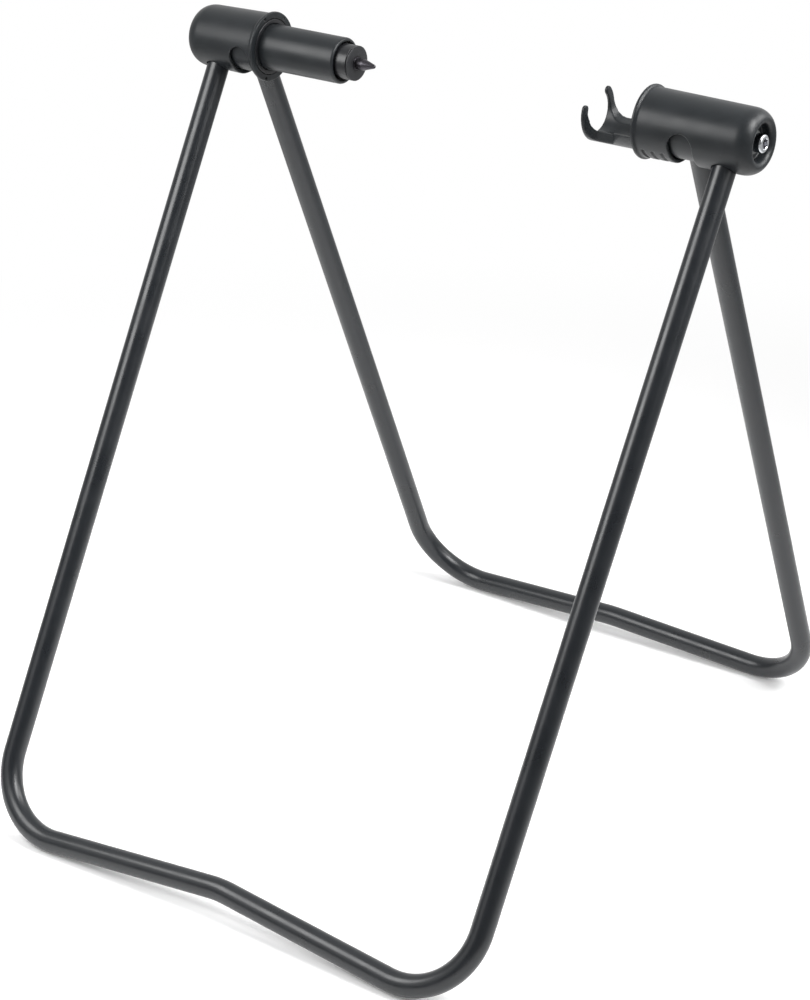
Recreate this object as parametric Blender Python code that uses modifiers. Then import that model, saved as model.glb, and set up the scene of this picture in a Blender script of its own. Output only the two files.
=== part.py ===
"""Folding wheel stand for a bicycle: two bent tube frames hinged in two moulded heads.

Metres, +Z up, the head axis along X, the floor at Z = 0. The larger front frame and its
two housings stand still. The rear frame turns in them together with the left spindle,
which carries a sprung locating pin, and the right cradle, which holds the axle nut.
Distances called outward are measured from the middle of the stand along its head axis.
"""
import math

import bmesh
import bpy
from mathutils import Matrix, Vector

# Stance of the open stand
AXIS_HEIGHT = 0.406
FRONT_TILT = math.radians(30.4)
REAR_TILT = math.radians(23.8)

# Steel tube of both frames
TUBE_R = 0.00635
TUBE_WALL = 0.0012
CORNER_BEND_R = 0.0408
KINK_BEND_R = 0.070
BEND_STEP = math.radians(12)
TUBE_RESOLUTION = 6
LEG_PAST_AXIS = 0.009

# Frames: half width between tube centres at the head axis, distance between the legs of
# one side, how much narrower each frame is at its foot, and the kink of its foot
FRONT_HALF_TOP = 0.165
LEG_PITCH = 0.0223
FRONT_TOE_IN = 0.0060
REAR_TOE_IN = 0.0002
FRONT_KINK = 0.0141
REAR_KINK = 0.0086

# Fits
GAP = 0.0003
SLOT_CLEARANCE = 0.0007

# Housings: how far one runs outward past the front leg, and inward past the rear leg
HOUSING_OVERHANG = 0.0175
LEFT_MOUTH_REACH = 0.0107
RIGHT_MOUTH_REACH = 0.0279
HOUSING_R = 0.0185
HOUSING_TAPER = 0.0009
HOUSING_ROUND_R = 0.0066
HOUSING_ROUND_X = 0.0090
ROUND_STEPS = 6
FLANGE_R = 0.0197
FLANGE_T = 0.0018
FLANGE_EDGE = 0.0003
FLANGE_ROOT = 0.0008
BORE_END_WALL = 0.0010
END_WALL = 0.0040
RECESS_R = 0.0100
RECESS_DRAFT = 0.0002
SLOT_FRONT_ANGLE = math.radians(196)
GRIP_GROOVES = 3
GRIP_FIRST = 0.0053
GRIP_PITCH = 0.0057
GRIP_WIDTH = 0.0016
GRIP_DEPTH = 0.0009
GRIP_HALF_ANGLE = math.radians(38)
NICK_ANGLES = [math.radians(angle) for angle in (50, 110, 250)]
NICK_WIDTH = 0.0008
NICK_DEPTH = 0.0006

# Turning pieces; their reach is measured inward from the rear leg
JOURNAL_R = 0.0156
JOURNAL_EDGE = 0.0011
SPINDLE_REACH = 0.0617
SPINDLE_R = 0.01295
SPINDLE_BORE_R = 0.0113
SPINDLE_EDGE = 0.0014
EDGE_STEPS = 4
LIP_COUNTERBORE_R = 0.0111
LIP_COUNTERBORE = 0.0026
LIP_LENGTH = 0.0040
BUSH_LENGTH = 0.0032
NUT_WALL = 0.0070
FRICTION_WASHER_T = 0.0014
FRICTION_WASHER_R = 0.0140

# Cradle for the axle nut
CRADLE_REACH = 0.0602
CRADLE_BORE_R = 0.0110
CRADLE_PLATE_T = 0.0020
CRADLE_RIM_DROP = 0.0051
CRADLE_RIM_SLOPE = math.radians(16)
CRADLE_RIM_INSET = 0.0018
CRADLE_RIM_FILLET = 0.0020
PRONG_SWEEP_R = 0.0083
PRONG_SWEEP_STEPS = 7
CRADLE_FILLET_STEPS = 3
NEAR_TIP_ANGLE = math.radians(163)
FAR_TIP_ANGLE = math.radians(43)
SIDE_FLAT_Y = 0.0080
SIDE_FLAT_START = 0.0055
SIDE_FLAT_LENGTH = 0.0104
SIDE_SHOULDER_R = 0.0140
SIDE_SHOULDER_INSET = 0.0006
SIDE_SHOULDER_STEPS = 5
SIDE_ROOT_X = 0.0018
SIDE_ROOT_Y = 0.0130

# Sprung pin
SLEEVE_R = 0.0098
SLEEVE_OUT = 0.0071
SLEEVE_LENGTH = 0.0240
SLEEVE_EDGE = 0.0004
SLEEVE_FLANGE_T = 0.0020
SLEEVE_POCKET_R = 0.0077
SLEEVE_FACE_T = 0.0100
CAP_R = 0.0098
CAP_T = 0.0010
CAP_EDGE = 0.0003
PIN_R = 0.0029
PIN_SHANK_R = 0.0026
PIN_COLLAR_R = 0.0034
PIN_COLLAR_T = 0.0005
PIN_COLLAR_PROUD = 0.0003
PIN_COLLAR_EDGE = 0.0002
PIN_STRAIGHT = 0.0053
PIN_CONE = 0.0069
PIN_TIP_R = 0.0011
PIN_TAIL = 0.0030
PIN_EDGE = 0.0003
CLIP_R = 0.0052
CLIP_T = 0.0008
CLIP_OPENING = math.radians(70)
CLIP_GROOVE_DEPTH = 0.0006
SPRING_WIRE_R = 0.00055
SPRING_COIL_R = 0.0066
SPRING_TURNS = 9
SPRING_END_TURNS = 1
SPRING_END_PITCH = 0.0018
SPRING_POINTS = 8

# Pivot screws, nuts and washers
SCREW_R = 0.0030
SCREW_CLEARANCE = 0.0004
SCREW_END_CHAMFER = 0.0005
SCREW_PAST_NUT = 0.0010
SCREW_HEAD_R = 0.0050
SCREW_HEAD_T = 0.0055
SCREW_HEAD_EDGE = 0.0004
SCREW_SOCKET_R = 0.0029
SCREW_SOCKET_DEPTH = 0.0030
HEAD_WASHER_R = 0.0062
HEAD_WASHER_T = 0.0010
NUT_ACROSS_FLATS = 0.0100
NUT_HEX_T = 0.0038
NUT_COLLAR_R = 0.0043
NUT_COLLAR_T = 0.0012
NUT_WASHER_R = 0.0060
NUT_WASHER_T = 0.0010
SEAT_FACE_T = 0.0020

# Fineness of round shapes, and how far a cutter runs past what it cuts
TURN_STEPS = 36
SMALL_STEPS = 20
SLOT_END_TURNS = (20, 40, 60, 75, 87)
PAST = 0.0010
MERGE = 0.00002

POWDER_COAT = ("powder_coated_steel", (0.012, 0.012, 0.014), 0.34, 0.0)
NYLON = ("black_moulded_nylon", (0.020, 0.021, 0.022), 0.52, 0.0)
BLACK_ACETAL = ("black_acetal", (0.014, 0.014, 0.015), 0.30, 0.0)
WHITE_ACETAL = ("white_acetal", (0.60, 0.60, 0.57), 0.45, 0.0)
DARK_STEEL = ("blackened_steel", (0.06, 0.06, 0.065), 0.32, 0.9)
CHROME = ("chrome_plated_steel", (0.62, 0.63, 0.65), 0.14, 1.0)
ZINC = ("zinc_plated_steel", (0.48, 0.49, 0.50), 0.35, 1.0)
SPRING_STEEL = ("spring_steel", (0.35, 0.35, 0.36), 0.30, 1.0)


def reach_to_floor(tilt):
    """Distance down a leaning frame from the head axis to its lowest tube centre."""
    return (AXIS_HEIGHT - TUBE_R) / math.cos(tilt)


FRONT_REACH = reach_to_floor(FRONT_TILT)
REAR_REACH = reach_to_floor(REAR_TILT)
AXIS_Y = (FRONT_REACH * math.sin(FRONT_TILT) - REAR_REACH * math.sin(REAR_TILT)) / 2
AXIS = Vector((0.0, AXIS_Y, AXIS_HEIGHT))
REAR_ANGLE = math.radians(270) + REAR_TILT

REAR_HALF_TOP = FRONT_HALF_TOP - LEG_PITCH
HOUSING_END_X = FRONT_HALF_TOP + HOUSING_OVERHANG
LEFT_MOUTH_X = REAR_HALF_TOP - LEFT_MOUTH_REACH
RIGHT_MOUTH_X = REAR_HALF_TOP - RIGHT_MOUTH_REACH
SPINDLE_END_X = REAR_HALF_TOP - SPINDLE_REACH
CRADLE_END_X = REAR_HALF_TOP - CRADLE_REACH
CRADLE_RIM_END_X = RIGHT_MOUTH_X - CRADLE_RIM_INSET

LEG_HOLE_R = TUBE_R + GAP
SCREW_HOLE_R = SCREW_R + SCREW_CLEARANCE
BORE_R = JOURNAL_R + GAP
BORE_END_X = FRONT_HALF_TOP - LEG_HOLE_R - BORE_END_WALL
JOURNAL_END_X = BORE_END_X - FRICTION_WASHER_T - 2 * GAP
NUT_SEAT_X = REAR_HALF_TOP - LEG_HOLE_R - NUT_WALL
RECESS_FLOOR_X = FRONT_HALF_TOP + LEG_HOLE_R + END_WALL
SCREW_HEAD_X = RECESS_FLOOR_X + HEAD_WASHER_T + 2 * GAP
NUT_X = NUT_SEAT_X - NUT_WASHER_T - 2 * GAP
SCREW_END_X = NUT_X - NUT_HEX_T - NUT_COLLAR_T - SCREW_PAST_NUT

LIP_X = SPINDLE_END_X + LIP_COUNTERBORE
LIP_END_X = LIP_X + LIP_LENGTH
SLEEVE_X = SPINDLE_END_X - SLEEVE_OUT
SLEEVE_FLOOR_X = SLEEVE_X + SLEEVE_FACE_T
PIN_HOLE_R = PIN_SHANK_R + GAP
CAP_X = SLEEVE_X - GAP - CAP_T
CLIP_X = SLEEVE_FLOOR_X + GAP
SEAT_FACE_X = SCREW_END_X - GAP - SEAT_FACE_T


class Frame:
    """Centreline of one U-shaped frame, which lies in a plane through the head axis."""

    def __init__(self, tilt, side, reach, half_top, toe_in, kink):
        self.tilt = tilt
        self.side = side
        self.half_top = half_top
        self.half_foot = half_top - toe_in
        self.kink = kink
        rise = math.atan2(kink, self.half_foot)
        splay = math.atan2(toe_in, reach)
        setback = CORNER_BEND_R * math.tan((math.radians(90) + rise - splay) / 2)
        self.corner = reach + setback * math.sin(rise) + CORNER_BEND_R * (math.cos(rise) - 1)

    def point(self, x, down):
        """World point of the frame's plane, at a distance down from the head axis."""
        return AXIS + Vector((x, self.side * down * math.sin(self.tilt), -down * math.cos(self.tilt)))

    def top(self, hand):
        """Where one leg's centreline crosses the head axis; hand is -1 left, 1 right."""
        return self.point(hand * self.half_top, 0.0)

    def down(self, hand):
        """Unit vector down one leg."""
        return (self.point(hand * self.half_foot, self.corner) - self.top(hand)).normalized()

    def path(self):
        """Points of the centreline, from the left leg's top to the right leg's top."""
        corners = [
            (self.top(-1) - self.down(-1) * LEG_PAST_AXIS, 0.0),
            (self.point(-self.half_foot, self.corner), CORNER_BEND_R),
            (self.point(0.0, self.corner - self.kink), KINK_BEND_R),
            (self.point(self.half_foot, self.corner), CORNER_BEND_R),
            (self.top(1) - self.down(1) * LEG_PAST_AXIS, 0.0),
        ]
        return rounded_polyline(corners)


def rounded_polyline(corners):
    """Points of a polyline of (corner, radius), its inner corners rounded by arcs."""
    made = [corners[0][0]]
    for (before, _), (corner, radius), (after, _) in zip(corners, corners[1:], corners[2:]):
        into = (corner - before).normalized()
        out = (after - corner).normalized()
        turn = into.angle(out)
        centre = corner + (out - into).normalized() * radius / math.cos(turn / 2)
        spoke = corner - into * radius * math.tan(turn / 2) - centre
        axis = into.cross(out).normalized()
        steps = max(3, math.ceil(turn / BEND_STEP))
        for i in range(steps + 1):
            made.append(centre + Matrix.Rotation(turn * i / steps, 3, axis) @ spoke)
    made.append(corners[-1][0])
    return made


def clear_scene():
    """Remove every object that the open file holds."""
    for item in list(bpy.data.objects):
        bpy.data.objects.remove(item, do_unlink=True)


def collection(name):
    """A collection linked to the scene, made when it is missing."""
    found = bpy.data.collections.get(name) or bpy.data.collections.new(name)
    if found.name not in bpy.context.scene.collection.children:
        bpy.context.scene.collection.children.link(found)
    return found


def own_material(node, finish):
    """A Principled material of one finish for one node."""
    name, colour, roughness, metallic = finish
    made = bpy.data.materials.new(node + "_" + name)
    made.use_nodes = True
    shader = made.node_tree.nodes["Principled BSDF"]
    shader.inputs["Base Color"].default_value = (*colour, 1.0)
    shader.inputs["Roughness"].default_value = roughness
    shader.inputs["Metallic"].default_value = metallic
    made.diffuse_color = (*colour, 1.0)
    return made


class Stand:
    """The two collections of the stand and the empties that its moving pieces hang on."""

    def __init__(self):
        self.parts = collection("bike_stand")
        self.cutters = collection("bike_stand_cutters")
        self.fold_axis = self.empty("rear_fold_axis", AXIS, None)
        pin_face = AXIS + Vector((-CAP_X, 0, 0))
        self.plunger_axis = self.empty("plunger_slide_axis", pin_face, self.fold_axis)

    def empty(self, name, location, parent):
        """An empty that marks a joint's axis."""
        item = bpy.data.objects.new(name, None)
        item.matrix_world = Matrix.Translation(location)
        self.parts.objects.link(item)
        self.hang(item, parent)
        return item

    def hang(self, item, parent):
        """Parent an object where it stands."""
        if parent:
            bpy.context.view_layer.update()
            item.parent = parent
            item.matrix_parent_inverse = parent.matrix_world.inverted()

    def add(self, item, finish, parent=None):
        """Take a piece into the stand with its own material."""
        self.parts.objects.link(item)
        item.data.materials.clear()
        item.data.materials.append(own_material(item.name, finish))
        self.hang(item, parent)
        return item

    def cut(self, item, tool, operation="DIFFERENCE"):
        """Cut a piece with a tool, or join the tool to it, and hide the tool."""
        self.cutters.objects.link(tool)
        tool.hide_render = True
        tool.display_type = "WIRE"
        made = item.modifiers.new(tool.name, "BOOLEAN")
        made.object = tool
        made.operation = operation
        made.solver = "EXACT"


def along_axis(hand):
    """Matrix that lays local +Z outward along the head axis, to the left or the right."""
    return Matrix.Translation(AXIS) @ Matrix.Rotation(math.radians(90 * hand), 4, "Y")


def turned(name, hand, outline, solid=False, steps=TURN_STEPS):
    """Turn an outline of (outward distance, radius) about the head axis.

    The outline goes outward along its inner side and back along its outer side. A solid
    one starts and ends on the axis, and any other closes on itself.
    """
    mesh = bpy.data.meshes.new(name)
    points = [(radius, 0.0, distance) for distance, radius in outline]
    edges = [(i, i + 1) for i in range(len(points) - 1)]
    if not solid:
        edges.append((len(points) - 1, 0))
    mesh.from_pydata(points, edges, [])
    item = bpy.data.objects.new(name, mesh)
    item.matrix_world = along_axis(hand)
    screw = item.modifiers.new("turn", "SCREW")
    screw.steps = steps
    screw.render_steps = steps
    screw.use_merge_vertices = True
    screw.merge_threshold = MERGE
    screw.use_smooth_shade = True
    return item


def washer(name, hand, start, thickness, inner, outer, steps=SMALL_STEPS):
    """A plain ring about the head axis."""
    end = start + thickness
    return turned(name, hand, [(start, inner), (end, inner), (end, outer), (start, outer)], steps=steps)


def arc(centre, size, start, end, steps):
    """Points of an elliptical arc between two angles in degrees."""
    made = []
    for i in range(steps + 1):
        angle = math.radians(start + (end - start) * i / steps)
        made.append((centre[0] + size[0] * math.cos(angle), centre[1] + size[1] * math.sin(angle)))
    return made


def cylinder(name, radius, start, end, sides=SMALL_STEPS):
    """A capped cylinder between two world points."""
    span = end - start
    mesh = bpy.data.meshes.new(name)
    shape = bmesh.new()
    bmesh.ops.create_cone(
        shape, cap_ends=True, segments=sides, radius1=radius, radius2=radius, depth=span.length
    )
    for face in shape.faces:
        face.smooth = sides >= SMALL_STEPS and len(face.verts) == 4
    shape.to_mesh(mesh)
    shape.free()
    item = bpy.data.objects.new(name, mesh)
    item.matrix_world = Matrix.LocRotScale((start + end) / 2, span.to_track_quat("Z", "Y"), None)
    return item


def box(name, size, matrix):
    """A box of a size, centred on a matrix."""
    mesh = bpy.data.meshes.new(name)
    shape = bmesh.new()
    bmesh.ops.create_cube(shape, size=1.0, matrix=Matrix.Diagonal((*size, 1.0)))
    shape.to_mesh(mesh)
    shape.free()
    item = bpy.data.objects.new(name, mesh)
    item.matrix_world = matrix
    return item


def meshed(holder, capped=True):
    """Replace a curve object by the mesh that it evaluates to, with its caps welded."""
    bpy.context.scene.collection.objects.link(holder)
    bpy.context.view_layer.update()
    graph = bpy.context.evaluated_depsgraph_get()
    mesh = bpy.data.meshes.new_from_object(holder.evaluated_get(graph))
    if capped:
        shape = bmesh.new()
        shape.from_mesh(mesh)
        bmesh.ops.remove_doubles(shape, verts=shape.verts, dist=MERGE)
        bmesh.ops.recalc_face_normals(shape, faces=shape.faces)
        shape.to_mesh(mesh)
        shape.free()
    name, matrix = holder.name, holder.matrix_world.copy()
    bpy.data.objects.remove(holder, do_unlink=True)
    mesh.name = name
    item = bpy.data.objects.new(name, mesh)
    item.matrix_world = matrix
    return item


def plate(name, outline, thickness, matrix):
    """A flat outline in local XY, thickened to both sides of its plane."""
    curve = bpy.data.curves.new(name, "CURVE")
    curve.dimensions = "2D"
    curve.fill_mode = "BOTH"
    curve.extrude = thickness / 2
    spline = curve.splines.new("POLY")
    spline.points.add(len(outline) - 1)
    for point, (x, y) in zip(spline.points, outline):
        point.co = (x, y, 0.0, 1.0)
    spline.use_cyclic_u = True
    holder = bpy.data.objects.new(name, curve)
    holder.matrix_world = matrix
    return meshed(holder)


def wire(name, points, radius, resolution, caps=True):
    """A round wire or tube along world points; without caps it is an open skin."""
    curve = bpy.data.curves.new(name, "CURVE")
    curve.dimensions = "3D"
    curve.bevel_depth = radius
    curve.bevel_resolution = resolution
    curve.use_fill_caps = caps
    spline = curve.splines.new("POLY")
    spline.points.add(len(points) - 1)
    for point, target in zip(spline.points, points):
        point.co = (*(target - AXIS), 1.0)
    holder = bpy.data.objects.new(name, curve)
    holder.matrix_world = Matrix.Translation(AXIS)
    return meshed(holder, capped=caps)


def polar(x, radius, angle):
    """A point about the head axis; the angle starts at +Y and turns to +Z."""
    return AXIS + Vector((x, radius * math.cos(angle), radius * math.sin(angle)))


def ring_slot(name, x, half_width, inner, outer, start, end, round_ends):
    """A slot cutter round the head axis, lofted between two angles.

    A round end is half of a straight hole, drilled towards the axis at the slot's end angle.
    """
    steps = math.ceil((end - start) / BEND_STEP) * 2
    sections = [(start + (end - start) * i / steps, 0.0) for i in range(steps + 1)]
    if round_ends:
        past = [half_width * math.sin(math.radians(turn)) for turn in SLOT_END_TURNS]
        sections = [(start, -step) for step in reversed(past)] + sections
        sections += [(end, step) for step in past]
    shape = bmesh.new()
    rings = []
    for angle, past in sections:
        width = math.sqrt(half_width**2 - past**2)
        aside = Vector((0.0, -math.sin(angle), math.cos(angle))) * past
        corners = [(-width, inner), (width, inner), (width, outer), (-width, outer)]
        rings.append([shape.verts.new(polar(x + side, radius, angle) + aside) for side, radius in corners])
    for ring, following in zip(rings, rings[1:]):
        for i in range(4):
            j = (i + 1) % 4
            shape.faces.new((ring[i], ring[j], following[j], following[i]))
    shape.faces.new(rings[0])
    shape.faces.new(rings[-1])
    bmesh.ops.recalc_face_normals(shape, faces=shape.faces)
    mesh = bpy.data.meshes.new(name)
    shape.to_mesh(mesh)
    shape.free()
    return bpy.data.objects.new(name, mesh)


def frame_tube(stand, name, frame, parent=None):
    """One bent steel tube, hollow and open at its two tops, with cross holes for the screws."""
    item = wire(name + "_tube", frame.path(), TUBE_R, TUBE_RESOLUTION, caps=False)
    item.data.shade_smooth()
    wall = item.modifiers.new("wall", "SOLIDIFY")
    wall.thickness = TUBE_WALL
    wall.offset = -1.0
    wall.use_even_offset = True
    stand.add(item, POWDER_COAT, parent)
    for side, hand in (("left", -1), ("right", 1)):
        through = Vector((TUBE_R + PAST, 0, 0))
        hole = cylinder(
            f"{name}_{side}_screw_hole", SCREW_HOLE_R, frame.top(hand) - through, frame.top(hand) + through
        )
        stand.cut(item, hole)


def leg_hole(name, frame, hand):
    """Cutter for the blind cross hole that takes the top of a leg from below."""
    blind = frame.top(hand) - frame.down(hand) * (LEG_PAST_AXIS + GAP)
    mouth = frame.top(hand) + frame.down(hand) * (FLANGE_R + TUBE_R)
    return cylinder(name, LEG_HOLE_R, blind, mouth)


def housing_outline(mouth):
    """Half section of a housing: bore, screw hole, head recess, rounded end and mouth flange."""
    end_r = HOUSING_R - HOUSING_TAPER
    nose_centre = (HOUSING_END_X - HOUSING_ROUND_X, end_r - HOUSING_ROUND_R)
    return [
        (mouth, BORE_R),
        (BORE_END_X, BORE_R),
        (BORE_END_X, SCREW_HOLE_R),
        (RECESS_FLOOR_X, SCREW_HOLE_R),
        (RECESS_FLOOR_X, RECESS_R),
        (HOUSING_END_X, RECESS_R + RECESS_DRAFT),
        *arc(nose_centre, (HOUSING_ROUND_X, HOUSING_ROUND_R), 0, 90, ROUND_STEPS),
        (mouth + FLANGE_T + FLANGE_ROOT, HOUSING_R),
        (mouth + FLANGE_T, HOUSING_R + FLANGE_ROOT / 2),
        (mouth + FLANGE_T, FLANGE_R - FLANGE_EDGE),
        (mouth + FLANGE_T - FLANGE_EDGE, FLANGE_R),
        (mouth + FLANGE_EDGE, FLANGE_R),
        (mouth, FLANGE_R - FLANGE_EDGE),
    ]


def housing(stand, side, hand, mouth, front):
    """One moulded housing with its leg hole, its turning slot and the nicks in its mouth."""
    item = stand.add(turned(side + "_housing", hand, housing_outline(mouth)), NYLON)
    stand.cut(item, leg_hole(side + "_front_leg_hole", front, hand))
    half_width = TUBE_R + SLOT_CLEARANCE
    rear_end = REAR_ANGLE - (SLOT_CLEARANCE - GAP) / HOUSING_R
    slot = ring_slot(
        side + "_turning_slot",
        hand * REAR_HALF_TOP,
        half_width,
        BORE_R - half_width,
        FLANGE_R + PAST,
        SLOT_FRONT_ANGLE,
        rear_end,
        round_ends=True,
    )
    stand.cut(item, slot)
    for number, angle in enumerate(NICK_ANGLES, 1):
        centre = polar(hand * mouth, (BORE_R + FLANGE_R) / 2, angle)
        matrix = Matrix.Translation(centre) @ Matrix.Rotation(angle, 4, "X")
        size = (2 * NICK_DEPTH, (FLANGE_R - BORE_R) / 2, NICK_WIDTH)
        stand.cut(item, box(f"{side}_mouth_nick_{number}", size, matrix))
    return item


def grip_grooves(stand, item):
    """Short grooves under the right housing, between its mouth and its turning slot."""
    bottom = math.radians(270)
    for i in range(GRIP_GROOVES):
        groove = ring_slot(
            f"right_grip_groove_{i + 1}",
            RIGHT_MOUTH_X + GRIP_FIRST + i * GRIP_PITCH,
            GRIP_WIDTH / 2,
            HOUSING_R - GRIP_DEPTH,
            HOUSING_R + PAST,
            bottom - GRIP_HALF_ANGLE,
            bottom + GRIP_HALF_ANGLE,
            round_ends=False,
        )
        stand.cut(item, groove)


def pivot_fasteners(stand, side, hand):
    """The socket screw of one head with its washers, lock nut and friction washer."""
    head_top = SCREW_HEAD_X + SCREW_HEAD_T
    outline = [
        (SCREW_END_X, 0.0),
        (SCREW_END_X, SCREW_R - SCREW_END_CHAMFER),
        (SCREW_END_X + SCREW_END_CHAMFER, SCREW_R),
        (SCREW_HEAD_X, SCREW_R),
        (SCREW_HEAD_X, SCREW_HEAD_R),
        (head_top - SCREW_HEAD_EDGE, SCREW_HEAD_R),
        (head_top, SCREW_HEAD_R - SCREW_HEAD_EDGE),
        (head_top, 0.0),
    ]
    screw = turned(side + "_pivot_screw", hand, outline[::-1], solid=True, steps=SMALL_STEPS)
    stand.add(screw, CHROME)
    socket_floor = AXIS + Vector((hand * (head_top - SCREW_SOCKET_DEPTH), 0, 0))
    socket_mouth = AXIS + Vector((hand * (head_top + PAST), 0, 0))
    stand.cut(screw, cylinder(side + "_screw_socket", SCREW_SOCKET_R, socket_floor, socket_mouth, sides=6))

    head_washer_x = RECESS_FLOOR_X + GAP
    stand.add(
        washer(side + "_screw_washer", hand, head_washer_x, HEAD_WASHER_T, SCREW_HOLE_R, HEAD_WASHER_R), ZINC
    )
    friction = washer(
        side + "_friction_washer", hand, JOURNAL_END_X + GAP, FRICTION_WASHER_T, SCREW_HOLE_R, FRICTION_WASHER_R
    )
    stand.add(friction, WHITE_ACETAL)

    nut_washer_x = NUT_SEAT_X - GAP - NUT_WASHER_T
    stand.add(
        washer(side + "_nut_washer", hand, nut_washer_x, NUT_WASHER_T, SCREW_HOLE_R, NUT_WASHER_R),
        ZINC,
        stand.fold_axis,
    )
    lock_nut(stand, side, hand)


def lock_nut(stand, side, hand):
    """A hexagon nut with the round collar that holds its locking ring."""
    seat = AXIS + Vector((hand * NUT_X, 0, 0))
    inward = Vector((-hand, 0, 0))
    hexagon_r = NUT_ACROSS_FLATS / math.sqrt(3)
    height = NUT_HEX_T + NUT_COLLAR_T
    nut = cylinder(side + "_lock_nut", hexagon_r, seat, seat + inward * NUT_HEX_T, sides=6)
    stand.add(nut, ZINC, stand.fold_axis)
    collar = cylinder(side + "_nut_collar", NUT_COLLAR_R, seat + inward * PAST, seat + inward * height)
    stand.cut(nut, collar, "UNION")
    thread = cylinder(
        side + "_nut_thread", SCREW_R + GAP, seat - inward * PAST, seat + inward * (height + PAST)
    )
    stand.cut(nut, thread)


def left_spindle(stand, rear):
    """Left turning piece: journal, long barrel and the lip that keeps the sleeve in."""
    shoulder = LEFT_MOUTH_X + BUSH_LENGTH + GAP
    edge_centre = (SPINDLE_END_X + SPINDLE_EDGE, SPINDLE_R - SPINDLE_EDGE)
    outline = [
        (SPINDLE_END_X, LIP_COUNTERBORE_R),
        (LIP_X, LIP_COUNTERBORE_R),
        (LIP_X, SLEEVE_R + GAP),
        (LIP_END_X, SLEEVE_R + GAP),
        (LIP_END_X, SPINDLE_BORE_R),
        (NUT_SEAT_X, SPINDLE_BORE_R),
        (NUT_SEAT_X, SCREW_HOLE_R),
        (JOURNAL_END_X, SCREW_HOLE_R),
        (JOURNAL_END_X, JOURNAL_R - JOURNAL_EDGE),
        (JOURNAL_END_X - JOURNAL_EDGE, JOURNAL_R),
        (shoulder, JOURNAL_R),
        (shoulder, SPINDLE_R),
        *arc(edge_centre, (SPINDLE_EDGE, SPINDLE_EDGE), 90, 180, EDGE_STEPS),
    ]
    item = stand.add(turned("left_spindle", -1, outline), NYLON, stand.fold_axis)
    stand.cut(item, leg_hole("left_rear_leg_hole", rear, -1))
    bush = washer(
        "left_mouth_bush", -1, LEFT_MOUTH_X, BUSH_LENGTH, SPINDLE_R + GAP, BORE_R - GAP, steps=TURN_STEPS
    )
    stand.add(bush, BLACK_ACETAL)


def cradle_top_cutter(name, hand):
    """Cutter that opens one half of the cradle's top; hand is -1 near, 1 far.

    The side view sweeps from the back of the end plate down to the rim, and the rim
    slopes towards the bore from its outer edge.
    """
    plate_back = CRADLE_END_X + CRADLE_PLATE_T
    clear = 2 * FLANGE_R
    outline = [
        (plate_back, clear),
        *arc(
            (plate_back + PRONG_SWEEP_R, PRONG_SWEEP_R),
            (PRONG_SWEEP_R, PRONG_SWEEP_R),
            180,
            270,
            PRONG_SWEEP_STEPS,
        ),
        *arc(
            (CRADLE_RIM_END_X - CRADLE_RIM_FILLET, CRADLE_RIM_FILLET),
            (CRADLE_RIM_FILLET, CRADLE_RIM_FILLET),
            270,
            360,
            CRADLE_FILLET_STEPS,
        ),
        (CRADLE_RIM_END_X, clear),
    ]
    edge_y = math.sqrt(JOURNAL_R**2 - CRADLE_RIM_DROP**2)
    inward = edge_y / math.cos(CRADLE_RIM_SLOPE) + PAST
    edge = AXIS + Vector((0, hand * edge_y, -CRADLE_RIM_DROP))
    slope = Matrix.Rotation(hand * CRADLE_RIM_SLOPE, 4, "X")
    upright = Matrix.Rotation(math.radians(90), 4, "X")
    middle = Matrix.Translation((0, 0, hand * (inward - clear) / 2))
    matrix = Matrix.Translation(edge) @ slope @ upright @ middle
    return plate(name, outline, inward + clear, matrix)


def cradle_side_cutter():
    """Cutter that opens the near wall of the cradle down to its flat.

    Seen from above, it runs from the end plate over a short root to the flat, and a round
    shoulder brings the wall back to its full radius.
    """
    outer = JOURNAL_R + 2 * PAST
    flat_start = CRADLE_END_X + SIDE_FLAT_START
    shoulder_y = SIDE_SHOULDER_R - (JOURNAL_R - SIDE_SHOULDER_INSET)
    begin = math.asin((SIDE_FLAT_Y + shoulder_y) / SIDE_SHOULDER_R)
    centre_x = flat_start + SIDE_FLAT_LENGTH + SIDE_SHOULDER_R * math.cos(begin)
    shoulder = arc(
        (centre_x, shoulder_y),
        (SIDE_SHOULDER_R, SIDE_SHOULDER_R),
        180 + math.degrees(begin),
        270,
        SIDE_SHOULDER_STEPS,
    )
    outline = [
        (CRADLE_END_X + CRADLE_PLATE_T, -outer),
        (CRADLE_END_X + CRADLE_PLATE_T, -SIDE_ROOT_Y),
        (flat_start - SIDE_ROOT_X, -(SIDE_FLAT_Y + SIDE_ROOT_X)),
        (flat_start, -SIDE_FLAT_Y),
        *shoulder,
        (centre_x + SIDE_SHOULDER_INSET, -outer),
    ]
    return plate("cradle_side_cut", outline, 4 * JOURNAL_R, Matrix.Translation(AXIS))


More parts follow.
